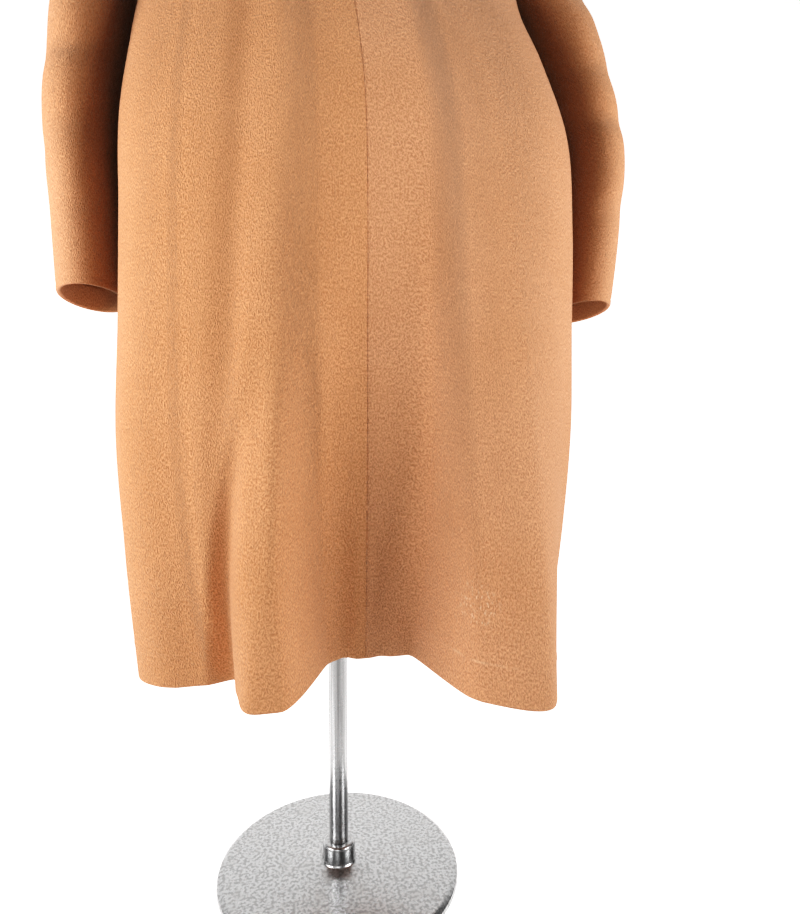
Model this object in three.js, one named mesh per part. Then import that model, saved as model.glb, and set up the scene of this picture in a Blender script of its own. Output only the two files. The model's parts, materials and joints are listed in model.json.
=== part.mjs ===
// A roomy camel wool overcoat on a limbless dress form with a chrome pole and a round base.
// Millimetres, +Z up. The coat's front faces -Y, and the wearer's right side is at -X.
// The origin is the middle of the base's underside, on the floor.

import * as THREE from 'three';
import { mergeVertices } from 'three/addons/utils/BufferGeometryUtils.js';

// Driving dimensions

const CLOTH = 3;             // thickness of the heavy wool
const SEAM_GAP = 0.3;        // between two pieces that are sewn together
const LAYER_GAP = 0.9;       // between a piece and the panel that it lies on
const HEM_Z = 360;           // the hem's height above the floor
const POLE_DIAMETER = 28;
const FRONT_OVERLAP = 32;    // how far each front runs past the centre front
const BUTTON_DIAMETER = 30;

// The body of the coat is a stack of rings, from the hem to the neck. Each row gives the ring's
// height above the hem at the sides, the centre back and the centre front, its half width and its
// depths from the shoulder plane, the sideways sway of its middle, and how square it is.

const RINGS = [
  { name: 'hem', side: 0, back: 0, front: 0,
    halfWidth: 264, backDepth: 236, frontDepth: 206, sway: -27, square: 2.55 },
  { name: 'calf', side: 150, back: 150, front: 150,
    halfWidth: 284, backDepth: 223, frontDepth: 198, sway: -27, square: 2.9 },
  { name: 'knee', side: 300, back: 300, front: 300,
    halfWidth: 302, backDepth: 210, frontDepth: 187, sway: -27, square: 2.8 },
  { name: 'thigh', side: 450, back: 450, front: 450,
    halfWidth: 304, backDepth: 197, frontDepth: 174, sway: -27, square: 2.8 },
  { name: 'hip', side: 580, back: 580, front: 580,
    halfWidth: 305, backDepth: 185, frontDepth: 162, sway: -27, square: 2.8 },
  { name: 'waist', side: 700, back: 700, front: 700,
    halfWidth: 302, backDepth: 171, frontDepth: 150, sway: -25, square: 2.7 },
  { name: 'chest', side: 800, back: 800, front: 798,
    halfWidth: 278, backDepth: 153, frontDepth: 142, sway: -16, square: 2.6 },
  { name: 'armpit', side: 878, back: 868, front: 862,
    halfWidth: 254, backDepth: 138, frontDepth: 138, sway: -6, square: 2.5 },
  { name: 'blade', side: 975, back: 925, front: 912,
    halfWidth: 244, backDepth: 130, frontDepth: 134, sway: -2, square: 2.4 },
  { name: 'tip', side: 1075, back: 990, front: 955,
    halfWidth: 228, backDepth: 123, frontDepth: 126, sway: 0, square: 2.3 },
  { name: 'shoulder', side: 1106, back: 1058, front: 1000,
    halfWidth: 152, backDepth: 106, frontDepth: 110, sway: 0, square: 2.2 },
  { name: 'neck', side: 1138, back: 1125, front: 1046,
    halfWidth: 80, backDepth: 68, frontDepth: 88, sway: 0, square: 2.1 },
];
const RING_Z_CURVE = 2.4;    // how quickly a ring climbs towards the sides

const ringNumber = name => RINGS.findIndex(ring => ring.name === name);
const ARMPIT = ringNumber('armpit');
const SHOULDER_TIP = ringNumber('tip');
const NECK = ringNumber('neck');

// The skirt's soft folds. Places round the coat run from 0 at the centre back to 0.5 at the
// wearer's right side seam and 1 at the centre front, and are negative on the left side.
// Each fold is a flat-topped ridge (out above 0) or a trough (out below 0) between two edges that
// are soft over some width. It fades out at its top, and its middle drifts on the way up.

const FOLDS = [
  { name: 'centre back trough', from: -0.098, to: 0.112,
    softFrom: 0.034, softTo: 0.028, out: -108, top: 900, fade: 1.7, drift: -0.022 },
  { name: 'right back ridge', from: 0.158, to: 0.245,
    softFrom: 0.050, softTo: 0.075, out: 84, top: 820, fade: 1.6, drift: 0.010 },
  { name: 'left back ridge', from: -0.218, to: -0.110,
    softFrom: 0.040, softTo: 0.040, out: 4, top: 800, fade: 1.3, drift: 0.040 },
  { name: 'left back trough', from: -0.300, to: -0.214,
    softFrom: 0.040, softTo: 0.034, out: -30, top: 640, fade: 1.4, drift: 0.030 },
  { name: 'left side ridge', from: -0.540, to: -0.340,
    softFrom: 0.060, softTo: 0.050, out: 34, top: 620, fade: 1.4, drift: 0.020 },
  { name: 'right side trough', from: 0.400, to: 0.500,
    softFrom: 0.050, softTo: 0.060, out: -20, top: 520, fade: 1.5, drift: 0.000 },
  { name: 'right front ridge', from: 0.560, to: 0.680,
    softFrom: 0.060, softTo: 0.060, out: 26, top: 640, fade: 1.4, drift: -0.010 },
  { name: 'right front trough', from: 0.720, to: 0.800,
    softFrom: 0.050, softTo: 0.050, out: -44, top: 700, fade: 1.5, drift: 0.010 },
  { name: 'left front ridge', from: -0.700, to: -0.620,
    softFrom: 0.040, softTo: 0.040, out: 24, top: 600, fade: 1.4, drift: 0.000 },
  { name: 'left front trough', from: -0.820, to: -0.750,
    softFrom: 0.045, softTo: 0.050, out: -38, top: 680, fade: 1.5, drift: -0.010 },
];
const HEM_LIFT = 0.12;       // the hem rises by this share of a trough's depth
const HEM_LIFT_TOP = 700;    // and the cloth above it less and less, up to this height

// Grids

const SKIRT_ROWS = 10;
const ARMHOLE_ROWS = 8;
const SHOULDER_ROWS = 4;
const PANEL_COLUMNS = 14;
const HEAD_ROWS = 4;
const ARM_ROWS = 6;

// The armhole, as shares of the way from the centre to the side that it takes from each panel

const ARMHOLE_BACK = 0.150;
const ARMHOLE_FRONT = 0.175;
const ARMHOLE_ROUNDNESS = 0.7;
const ARMHOLE_SPREAD = 1.8;  // above 1, the columns next to the armhole give way first

// The right front rises over the left one between these two places
const LAYER_FROM = 0.80;
const LAYER_TO = 0.93;
const LAYER_SLACK = 0.2;

// The lapels roll over along a line from the front edge, just above the top button, to the neck

const BREAK_HEIGHT = 800;    // above the hem
const ROLL_NECK_X = 76;      // how far from the centre it meets the neck
const LAPEL_TOP_RING = 10.5;
const LAPEL_ROWS = 10;
const LAPEL_COLUMNS = 4;
const LAPELS = [
  { share: 0,    width: 4 },
  { share: 0.25, width: 40 },
  { share: 0.5,  width: 70 },
  { share: 0.75, width: 90 },
  { share: 1,    width: 92 },
];

// The collar runs from notch to notch. Each station gives the place and the ring of its neck edge,
// which ends on the roll line, the place and the ring of its outer edge, and how high it stands.

const COLLAR = [
  { name: 'centre back', neck: 0,    neckRing: 11,    edge: 0,    edgeRing: 10.58, stand: 30 },
  { name: 'back',        neck: 0.25, neckRing: 11,    edge: 0.26, edgeRing: 10.58, stand: 29 },
  { name: 'shoulder',    neck: 0.45, neckRing: 11,    edge: 0.48, edgeRing: 10.5,  stand: 24 },
  { name: 'front',       neck: 0.8,  neckRing: 10.95, edge: 0.57, edgeRing: 10.3,  stand: 14 },
  { name: 'notch',       neck: 1,    neckRing: 10.6,  edge: 0.63, edgeRing: 10.15, stand: 9 },
];
const COLLAR_STEPS = 10;     // on each side of the centre back
const COLLAR_ROLL = 6.5;     // radius of the fold between the stand and the fall

// Sleeves hang beside the body. Rings run down from the upper arm to the cuff, each with its height
// above the hem, how far back its middle lies, how far off the body's side it hangs, its half
// sizes across and front to back, and how much higher its back edge is than its middle.

const SLEEVES = [
  { name: 'upper arm', height: 846, back: 2,   clear: 5, halfWide: 46, halfDeep: 98, rise: 6 },
  { name: 'elbow',     height: 690, back: -4,  clear: 4, halfWide: 45, halfDeep: 88, rise: 2 },
  { name: 'forearm',   height: 570, back: -16, clear: 4, halfWide: 44, halfDeep: 79, rise: 5 },
  { name: 'cuff',      height: 487, back: -28, clear: 4, halfWide: 44, halfDeep: 73, rise: 7 },
];
const HEAD_DROP = 0.45;      // slope of the sleeve head where it leaves the armhole
const HEAD_FULLNESS = 0.8;   // how far it goes that way before it hangs down
const HEAD_END = 0.1;        // the place down the sleeve that sets the way it hangs

// The buttons' heights above the hem

const BUTTONS = [
  { name: 'top', height: 778 },
  { name: 'middle', height: 640 },
  { name: 'bottom', height: 502 },
];
const BUTTON_PROFILE = [
  { radius: 0,    out: 0 },
  { radius: 0.62, out: 0 },
  { radius: 1,    out: 0.45 },
  { radius: 0.98, out: 0.85 },
  { radius: 0.84, out: 1 },
  { radius: 0.66, out: 0.7 },
  { radius: 0,    out: 0.6 },
];
const BUTTON_THICKNESS = 5;
const BUTTON_SEGMENTS = 16;

// The dress form inside the coat, from its flat bottom up to where the coat's shoulders rest on it

const FORM = [
  { name: 'bottom', z: 800,  halfWidth: 158, backDepth: 112, frontDepth: 88 },
  { name: 'hips',   z: 880,  halfWidth: 164, backDepth: 118, frontDepth: 92 },
  { name: 'waist',  z: 1060, halfWidth: 120, backDepth: 80,  frontDepth: 84 },
  { name: 'ribs',   z: 1160, halfWidth: 134, backDepth: 92,  frontDepth: 104 },
  { name: 'bust',   z: 1240, halfWidth: 150, backDepth: 104, frontDepth: 120 },
];
const FORM_SEAT = 0.8;       // between the form's shoulders and the cloth
const FORM_SHOULDERS = [     // rings under the coat's, set in and dropped to clear its fronts
  { row: 9.3,  inset: 18, drop: 12 },
  { row: 9.5,  inset: 8,  drop: 2 },
  { row: 9.75, inset: 6,  drop: 0 },
  { row: 10,   inset: 0,  drop: 0 },
  { row: 10.5, inset: 0,  drop: 0 },
  { row: 10.8, inset: 1,  drop: 0 },
];
const FORM_FRONT_ROOM = 4;   // more room near the centre front, where one front lies under the other
const FRONT_ROOM_FROM = 0.72;
const FRONT_ROOM_TO = 0.86;
const FORM_COLUMNS = 32;
const FORM_NECK = { radius: 54, flare: 2, inset: 11, low: 1516, top: 1560 };
const CAP_PROFILE = [
  { radius: 0,  z: 0 },
  { radius: 55, z: 0 },
  { radius: 57, z: 4 },
  { radius: 55, z: 9 },
  { radius: 30, z: 15 },
  { radius: 12, z: 18 },
  { radius: 10, z: 28 },
  { radius: 16, z: 36 },
  { radius: 14, z: 46 },
  { radius: 0,  z: 50 },
];
const BASE_PROFILE = [
  { radius: 0,   z: 0 },
  { radius: 178, z: 0 },
  { radius: 180, z: 3 },
  { radius: 179, z: 9 },
  { radius: 172, z: 13 },
  { radius: 60,  z: 15 },
  { radius: 27,  z: 18 },
  { radius: 24,  z: 22 },
  { radius: 24,  z: 44 },
  { radius: 21,  z: 47 },
  { radius: 0,   z: 47 },
];
const HARD_GAP = 0.2;        // between two hard pieces that stand on each other
const TURNED_SEGMENTS = 32;

// Smooth steps between table rows

function blendColumn(table, place, column) {
  const last = table.length - 1;
  const first = Math.min(Math.max(Math.floor(place), 0), last - 1);
  const t = place - first;
  const value = index => table[Math.min(Math.max(index, 0), last)][column];
  const p0 = value(first);
  const p1 = value(first + 1);
  const m0 = first > 0 ? (p1 - value(first - 1)) / 2 : p1 - p0;
  const m1 = first + 1 < last ? (value(first + 2) - p0) / 2 : p1 - p0;
  const t2 = t * t;
  const t3 = t2 * t;
  return p0 * (2 * t3 - 3 * t2 + 1) + m0 * (t3 - 2 * t2 + t) + p1 * (3 * t2 - 2 * t3) + m1 * (t3 - t2);
}

function blendRow(table, place, columns) {
  return Object.fromEntries(columns.map(column => [column, blendColumn(table, place, column)]));
}

function smoothStep(value, low, high) {
  const t = Math.min(Math.max((value - low) / (high - low), 0), 1);
  return t * t * (3 - 2 * t);
}

// How far the folds push the cloth out at a place round the coat and a height above the hem

function foldOffset(place, height) {
  let offset = 0;
  for (const fold of FOLDS) {
    if (height >= fold.top) continue;
    const rise = Math.max(height, 0) / fold.top;
    const at = place - fold.drift * rise;
    const enter = smoothStep(at, fold.from - fold.softFrom, fold.from + fold.softFrom);
    const leave = 1 - smoothStep(at, fold.to - fold.softTo, fold.to + fold.softTo);
    offset += fold.out * enter * leave * (1 - rise) ** fold.fade;
  }
  return offset;
}

// One ring of the body before folding: points every degree, and how far round each one lies

const SECTION_STEPS = 180;   // over a half turn
const RING_COLUMNS = ['side', 'back', 'front', 'halfWidth', 'backDepth', 'frontDepth', 'sway', 'square'];
const sections = new Map();

function ringPoint(ring, angle) {
  const s = Math.sin(angle);
  const c = Math.cos(angle);
  const depth = c >= 0 ? ring.backDepth : ring.frontDepth;
  const power = ring.square;
  const radius = (Math.abs(s / ring.halfWidth) ** power + Math.abs(c / depth) ** power) ** (-1 / power);
  const climb = Math.min(Math.abs(radius * s) / ring.halfWidth, 1) ** RING_Z_CURVE;
  const middle = c >= 0 ? ring.back : ring.front;
  const height = middle + (ring.side - middle) * climb;
  return new THREE.Vector3(ring.sway - radius * s, radius * c, HEM_Z + height);
}

function section(row) {
  const key = row.toFixed(5);
  if (sections.has(key)) return sections.get(key);
  const ring = blendRow(RINGS, row, RING_COLUMNS);
  const points = [];
  const lengths = [0];
  for (let i = 0; i <= SECTION_STEPS; i += 1) {
    points.push(ringPoint(ring, Math.PI * i / SECTION_STEPS));
    if (i > 0) lengths.push(lengths[i - 1] + points[i].distanceTo(points[i - 1]));
  }
  const side = lengths[SECTION_STEPS / 2];
  const total = lengths[SECTION_STEPS];
  const places = lengths.map(l => l <= side ? 0.5 * l / side : 0.5 + 0.5 * (l - side) / (total - side));
  const made = { ring, places };
  sections.set(key, made);
  return made;
}

// A place a little past the centre front, as the place on the other side that it lies at

function wrapPlace(place) {
  if (place > 1) return place - 2;
  if (place < -1) return place + 2;
  return place;
}

// The angle of a place round the coat on a ring

function angleAt(places, place) {
  const wrapped = wrapPlace(place);
  const size = Math.abs(wrapped);
  let low = 0;
  let high = SECTION_STEPS;
  while (high - low > 1) {
    const middle = (low + high) >> 1;
    if (places[middle] <= size) low = middle;
    else high = middle;
  }
  const t = (size - places[low]) / (places[high] - places[low]);
  return Math.sign(wrapped) * Math.PI * (low + t) / SECTION_STEPS;
}

// A point on the outside of the cloth, and the cloth's outward normal there

const ANGLE_STEP = 0.004;
const PLACE_STEP = 0.002;
const ROW_STEP = 0.02;

function surfacePoint(place, row) {
  const { ring, places } = section(row);
  const angle = angleAt(places, place);
  const point = ringPoint(ring, angle);
  const along = ringPoint(ring, angle + ANGLE_STEP).sub(ringPoint(ring, angle - ANGLE_STEP));
  const out = new THREE.Vector3(along.y, -along.x, 0).normalize();
  const height = point.z - HEM_Z;
  const offset = foldOffset(wrapPlace(place), height);
  point.addScaledVector(out, offset);
  point.z += HEM_LIFT * Math.max(-offset, 0) * (1 - smoothStep(height, 0, HEM_LIFT_TOP));
  return point;
}

function surfaceNormal(place, row) {
  const low = Math.max(row - ROW_STEP, 0);
  const high = Math.min(row + ROW_STEP, NECK);
  const across = surfacePoint(place + PLACE_STEP, row).sub(surfacePoint(place - PLACE_STEP, row));
  const upward = surfacePoint(place, high).sub(surfacePoint(place, low));
  return across.cross(upward).normalize();
}

// Shares of the way across a panel with equal lengths of cloth between them at the hem

function evenShares(from, to) {
  const fine = 240;
  const lengths = [0];
  for (let i = 1; i <= fine; i += 1) {
    const here = surfacePoint(from + (to - from) * i / fine, 0);
    const before = surfacePoint(from + (to - from) * (i - 1) / fine, 0);
    lengths.push(lengths[i - 1] + here.distanceTo(before));
  }
  const shares = [0];
  let k = 0;
  for (let i = 1; i < PANEL_COLUMNS; i += 1) {
    const wanted = lengths[fine] * i / PANEL_COLUMNS;
    while (lengths[k + 1] < wanted) k += 1;
    shares.push((k + (wanted - lengths[k]) / (lengths[k + 1] - lengths[k])) / fine);
  }
  shares.push(1);
  return shares;
}

// A closed wall from a grid of outer points and a grid of inner points.
// Rows that close round on themselves make a tube.

function wall(outer, inner, closed = false) {
  const rows = outer.length;
  const columns = outer[0].length;
  const positions = [];
  const addTriangle = (a, b, c) => positions.push(a, b, c);
  const addQuad = (a, b, c, d) => {
    addTriangle(a, b, c);
    addTriangle(a, c, d);
  };
  const lastColumn = closed ? columns : columns - 1;
  for (let i = 0; i < rows - 1; i += 1) {
    for (let j = 0; j < lastColumn; j += 1) {
      const k = (j + 1) % columns;
      const rising = outer[i][j].distanceTo(outer[i + 1][k]) <= outer[i][k].distanceTo(outer[i + 1][j]);
      if (rising) {
        addQuad(outer[i][j], outer[i][k], outer[i + 1][k], outer[i + 1][j]);
        addQuad(inner[i + 1][k], inner[i][k], inner[i][j], inner[i + 1][j]);
      } else {
        addQuad(outer[i][k], outer[i + 1][k], outer[i + 1][j], outer[i][j]);
        addQuad(inner[i + 1][j], inner[i + 1][k], inner[i][k], inner[i][j]);
      }
    }
  }
  for (let j = 0; j < lastColumn; j += 1) {
    const k = (j + 1) % columns;
    const top = rows - 1;
    addQuad(outer[0][k], outer[0][j], inner[0][j], inner[0][k]);
    addQuad(outer[top][j], outer[top][k], inner[top][k], inner[top][j]);
  }
  if (!closed) {
    for (let i = 0; i < rows - 1; i += 1) {
      const end = columns - 1;
      addQuad(outer[i][0], outer[i + 1][0], inner[i + 1][0], inner[i][0]);
      addQuad(outer[i + 1][end], outer[i][end], inner[i][end], inner[i + 1][end]);
    }
  }
  return closedGeometry(positions);
}

function closedGeometry(points) {
  const numbers = points.flatMap(point => [point.x, point.y, point.z]);
  const geometry = new THREE.BufferGeometry();
  geometry.setAttribute('position', new THREE.Float32BufferAttribute(numbers, 3));
  return facingOut(mergeVertices(geometry, 1e-4));
}

// Turns every face round if the solid came out inside out

function facingOut(geometry) {
  const position = geometry.getAttribute('position');
  const index = geometry.getIndex();
  const corners = [new THREE.Vector3(), new THREE.Vector3(), new THREE.Vector3()];
  let volume = 0;
  for (let i = 0; i < index.count; i += 3) {
    corners.forEach((corner, k) => corner.fromBufferAttribute(position, index.getX(i + k)));
    volume += corners[0].dot(corners[1].clone().cross(corners[2]));
  }
  if (volume < 0) {
    for (let i = 0; i < index.count; i += 3) {
      const second = index.getX(i + 1);
      index.setX(i + 1, index.getX(i + 2));
      index.setX(i + 2, second);
    }
  }
  geometry.computeVertexNormals();
  return geometry;
}

// Materials

const WOOL = new THREE.MeshStandardMaterial({ color: 0xc48f5f, roughness: 0.95, metalness: 0 });
const HORN = new THREE.MeshStandardMaterial({ color: 0x5a3a22, roughness: 0.35, metalness: 0 });
const LINEN = new THREE.MeshStandardMaterial({ color: 0xe6ded0, roughness: 0.9, metalness: 0 });
const STEEL = new THREE.MeshStandardMaterial({ color: 0xc9ccd0, roughness: 0.2, metalness: 1 });
const WOOD = new THREE.MeshStandardMaterial({ color: 0x8a5a34, roughness: 0.5, metalness: 0 });

const overcoat = new THREE.Group();

function addPiece(name, geometry, material) {
  const mesh = new THREE.Mesh(geometry, material);
  mesh.name = name;
  overcoat.add(mesh);
}

// The rows of every body panel: even steps up the skirt, then the armhole, then the shoulder

const PANEL_ROWS = [];
for (let i = 0; i < SKIRT_ROWS; i += 1) {
  PANEL_ROWS.push(ARMPIT * i / SKIRT_ROWS);
}
for (let i = 0; i < ARMHOLE_ROWS; i += 1) {
  const share = i / ARMHOLE_ROWS;
  const eased = 0.5 * share + 0.25 - 0.25 * Math.cos(Math.PI * share);
  PANEL_ROWS.push(ARMPIT + (SHOULDER_TIP - ARMPIT) * eased);
}
for (let i = 0; i <= SHOULDER_ROWS; i += 1) {
  PANEL_ROWS.push(SHOULDER_TIP + (NECK - SHOULDER_TIP) * i / SHOULDER_ROWS);
}

// The ring number at a height above the hem, measured at the centre front or at the side

function ringAt(column, height) {
  const tolerance = 1e-6;
  let low = 0;
  let high = SHOULDER_TIP;
  while (high - low > tolerance) {
    const middle = 0.5 * (low + high);
    if (section(middle).ring[column] < height) low = middle;
    else high = middle;
  }
  return high;
}

// How far the armhole cuts into the back (-1) or the front (1) at a row

function armholeCut(row, towards) {
  const share = (row - ARMPIT) / (SHOULDER_TIP - ARMPIT);
  if (share <= 0 || share >= 1) return 0;
  const depth = towards < 0 ? ARMHOLE_BACK : ARMHOLE_FRONT;
  return depth * Math.sin(Math.PI * share) ** ARMHOLE_ROUNDNESS;
}

// Where the front ends: past the centre front below the lapel, and on the roll line above it.
// The left lapel also starts clear of the right front's edge, which lies over it lower down.

const FRONT_SEARCH = { start: 1.08, end: 0.5, steps: 400 };

function frontEnd(row, covered = false) {
  const { ring } = section(row);
  if (ring.front <= BREAK_HEIGHT) return 1 + FRONT_OVERLAP / 2 / (ring.halfWidth + ring.frontDepth);
  const { start, end, steps } = FRONT_SEARCH;
  for (let i = 0; i <= steps; i += 1) {
    const place = start + (end - start) * i / steps;
    const point = surfacePoint(place, row);
    const share = (point.z - HEM_Z - BREAK_HEIGHT) / (RINGS[NECK].side - BREAK_HEIGHT);
    const ownX = FRONT_OVERLAP - (FRONT_OVERLAP + ROLL_NECK_X) * share;
    const rollX = covered ? Math.min(ownX, -ownX - 2 * LAYER_GAP) : ownX;
    if (point.x - ring.sway <= rollX) return place;
  }
  return end;
}

// How far a front is moved out near the centre front, where the right one lies over the left one

function layerLift(place, side) {
  const nearCentre = smoothStep(Math.abs(place), LAYER_FROM, LAYER_TO);
  return side * (0.5 * (CLOTH + LAYER_GAP) + LAYER_SLACK) * nearCentre;
}

// The outer points of a body panel. Side 1 is the wearer's right and -1 the left.

function panelPoints(side, part) {
  const hemEnds = part === 'back' ? [0, 0.5] : [0.5, frontEnd(0)];
  const shares = evenShares(side * hemEnds[0], side * hemEnds[1]);
  return PANEL_ROWS.map(row => {
    const from = part === 'back' ? 0 : 0.5;
    const to = part === 'back' ? 0.5 : frontEnd(row);
    const towards = part === 'back' ? -1 : 1;
    const cut = towards * armholeCut(row, towards);
    const width = surfacePoint(side * from, row).distanceTo(surfacePoint(side * to, row));
    const inset = 0.5 * SEAM_GAP / width;
    return shares.map(share => {
      const nearSide = part === 'back' ? share : 1 - share;
      const whole = from + (to - from) * (inset + share * (1 - 2 * inset));
      const place = side * (whole + cut * nearSide ** ARMHOLE_SPREAD);
      const normal = surfaceNormal(place, row);
      const lift = part === 'front' ? layerLift(place, side) : 0;
      const point = surfacePoint(place, row).addScaledVector(normal, lift);
      return { point, normal };
    });
  });
}

function moveOut(grid, distance) {
  return grid.map(row => row.map(({ point, normal }) => point.clone().addScaledVector(normal, distance)));
}

function addCloth(name, grid, closed = false) {
  addPiece(name, wall(moveOut(grid, 0), moveOut(grid, -CLOTH), closed), WOOL);
}

// Normals of a grid of points. Columns of a closed grid join up.

function withNormals(points, closed, flip) {
  const rows = points.length;
  const columns = points[0].length;
  return points.map((row, i) => row.map((point, j) => {
    const before = closed ? (j + columns - 1) % columns : Math.max(j - 1, 0);
    const after = closed ? (j + 1) % columns : Math.min(j + 1, columns - 1);
    const across = row[after].clone().sub(row[before]);
    const down = points[Math.min(i + 1, rows - 1)][j].clone().sub(points[Math.max(i - 1, 0)][j]);
    return { point, normal: across.cross(down).normalize().multiplyScalar(flip) };
  }));
}

// The body's side at a height above the hem

function bodySide(side, height) {
  return surfacePoint(side * 0.5, ringAt('side', height)).x;
}

// A sleeve ring's points, from the one next to the body, round the back and the outside

const SLEEVE_COLUMNS = 2 * ARMHOLE_ROWS;
const ARM_COLUMNS = ['height', 'back', 'clear', 'halfWide', 'halfDeep', 'rise'];

function sleeveRing(side, place) {
  const ring = blendRow(SLEEVES, place, ARM_COLUMNS);
  const middle = Math.abs(bodySide(side, ring.height)) + ring.clear + ring.halfWide;
  const points = [];
  for (let k = 0; k < SLEEVE_COLUMNS; k += 1) {
    const angle = 2 * Math.PI * k / SLEEVE_COLUMNS;
    const x = -side * (middle - ring.halfWide * Math.cos(angle));
    const y = ring.back + ring.halfDeep * Math.sin(angle);
    points.push(new THREE.Vector3(x, y, HEM_Z + ring.height + ring.rise * Math.sin(angle)));
  }
  return points;
}

// The armhole's edge, from the armpit up the back to the shoulder and down the front

function armholeEdge(side) {
  const points = [];
  for (let k = 0; k < SLEEVE_COLUMNS; k += 1) {
    const towards = k <= ARMHOLE_ROWS ? -1 : 1;
    const step = k <= ARMHOLE_ROWS ? k : SLEEVE_COLUMNS - k;
    const row = PANEL_ROWS[SKIRT_ROWS + step];
    points.push(surfacePoint(side * (0.5 + towards * armholeCut(row, towards)), row));
  }
  return points;
}

function sleevePoints(side) {
  const edge = armholeEdge(side);
  const upper = sleeveRing(side, 0);
  const next = sleeveRing(side, HEAD_END);
  const out = new THREE.Vector3(-side, 0, -HEAD_DROP).normalize();
  const rows = [];
  for (let i = 0; i < HEAD_ROWS; i += 1) {
    const t = i / HEAD_ROWS;
    rows.push(edge.map((point, k) => {
      const start = point.clone().addScaledVector(out, SEAM_GAP);
      const reach = start.distanceTo(upper[k]);
      const leave = out.clone().multiplyScalar(HEAD_FULLNESS * reach);
      const arrive = next[k].clone().sub(upper[k]).normalize().multiplyScalar(reach);
      return start.multiplyScalar(2 * t ** 3 - 3 * t ** 2 + 1)
        .addScaledVector(leave, t ** 3 - 2 * t ** 2 + t)
        .addScaledVector(upper[k], 3 * t ** 2 - 2 * t ** 3)
        .addScaledVector(arrive, t ** 3 - t ** 2);
    }));
  }
  for (let i = 0; i <= ARM_ROWS; i += 1) {
    rows.push(sleeveRing(side, (SLEEVES.length - 1) * i / ARM_ROWS));
  }
  return withNormals(rows, true, -side);
}

// A lapel lies on its front, from the roll line out to its edge

function lapelPoints(side) {
  const first = ringAt('front', BREAK_HEIGHT) + ROW_STEP;
  const probe = 0.02;
  const rows = [];
  for (let i = 0; i <= LAPEL_ROWS; i += 1) {
    const share = i / LAPEL_ROWS;
    const row = first + (LAPEL_TOP_RING - first) * share;
    const width = blendColumn(LAPELS, share * (LAPELS.length - 1), 'width');
    const roll = frontEnd(row, side < 0);
    const rollPoint = surfacePoint(side * roll, row);
    const perPlace = rollPoint.distanceTo(surfacePoint(side * (roll - probe), row)) / probe;
    const points = [];
    for (let j = 0; j <= LAPEL_COLUMNS; j += 1) {
      const place = side * (roll - width * j / LAPEL_COLUMNS / perPlace);
      const normal = surfaceNormal(place, row);
      const lift = layerLift(place, side) + LAYER_GAP + CLOTH;
      points.push({ point: surfacePoint(place, row).addScaledVector(normal, lift), normal });
    }
    rows.push(points);
  }
  return rows;
}

// The collar's profile at a station: up the stand, over the fold and down the fall

function collarProfile(place) {
  const side = place < 0 ? -1 : 1;
  const at = Math.abs(place) * (COLLAR.length - 1);
  const neckRing = blendColumn(COLLAR, at, 'neckRing');
  const neckPlace = side * Math.min(blendColumn(COLLAR, at, 'neck'), frontEnd(neckRing));
  const neck = surfacePoint(neckPlace, neckRing);
  const away = surfaceNormal(neckPlace, neckRing).setZ(0).normalize();
  const up = new THREE.Vector3(0, 0, 1);
  const stand = Math.max(blendColumn(COLLAR, at, 'stand') - COLLAR_ROLL, 1);
  const edgePlace = side * blendColumn(COLLAR, at, 'edge');
  const edgeRing = blendColumn(COLLAR, at, 'edgeRing');
  const edge = surfacePoint(edgePlace, edgeRing)
    .addScaledVector(surfaceNormal(edgePlace, edgeRing), CLOTH + LAYER_GAP + CLOTH);
  const foot = neck.clone().addScaledVector(away, -CLOTH).addScaledVector(up, SEAM_GAP);
  const centre = foot.clone().addScaledVector(up, stand).addScaledVector(away, COLLAR_ROLL);
  const points = [foot, foot.clone().addScaledVector(up, stand)];
  for (const angle of [135, 90, 45]) {
    const turn = THREE.MathUtils.degToRad(angle);
    points.push(centre.clone()
      .addScaledVector(away, COLLAR_ROLL * Math.cos(turn))
      .addScaledVector(up, COLLAR_ROLL * Math.sin(turn)));
  }
  const fold = points[points.length - 1];
  for (const share of [1 / 3, 2 / 3, 1]) points.push(fold.clone().lerp(edge, share));
  return points;
}

function collarPoints() {
  const rows = [];
  for (let i = -COLLAR_STEPS; i <= COLLAR_STEPS; i += 1) {
    rows.push(collarProfile(i / COLLAR_STEPS));
  }
  return withNormals(rows, false, -1);
}

// A solid turned about Z

function turned(profile, segments) {
  const corner = (point, k) => {
    const angle = 2 * Math.PI * (k % segments) / segments;
    return new THREE.Vector3(point.radius * Math.cos(angle), point.radius * Math.sin(angle), point.z);
  };
  const triangles = [];
  for (let i = 0; i < profile.length - 1; i += 1) {
    const low = profile[i];
    const high = profile[i + 1];
    for (let k = 0; k < segments; k += 1) {
      if (low.radius > 0) triangles.push(corner(low, k), corner(low, k + 1), corner(high, k));
      if (high.radius > 0) triangles.push(corner(low, k + 1), corner(high, k + 1), corner(high, k));
    }
  }
  return closedGeometry(triangles);
}

function addButton(name, height) {
  const row = ringAt('front', height);
  const normal = surfaceNormal(1, row);
  const profile = BUTTON_PROFILE.map(({ radius, out }) => {
    return { radius: radius * BUTTON_DIAMETER / 2, z: out * BUTTON_THICKNESS };
  });
  const geometry = turned(profile, BUTTON_SEGMENTS);
  const turn = new THREE.Quaternion().setFromUnitVectors(new THREE.Vector3(0, 0, 1), normal);
  const seat = surfacePoint(1, row).addScaledVector(normal, layerLift(1, 1) + LAYER_GAP);
  geometry.applyMatrix4(new THREE.Matrix4().compose(seat, turn, new THREE.Vector3(1, 1, 1)));
  addPiece(`button_${name}`, geometry, HORN);
}

// The dress form: plain rings up to the bust, rings under the coat's shoulders, and a round neck

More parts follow.
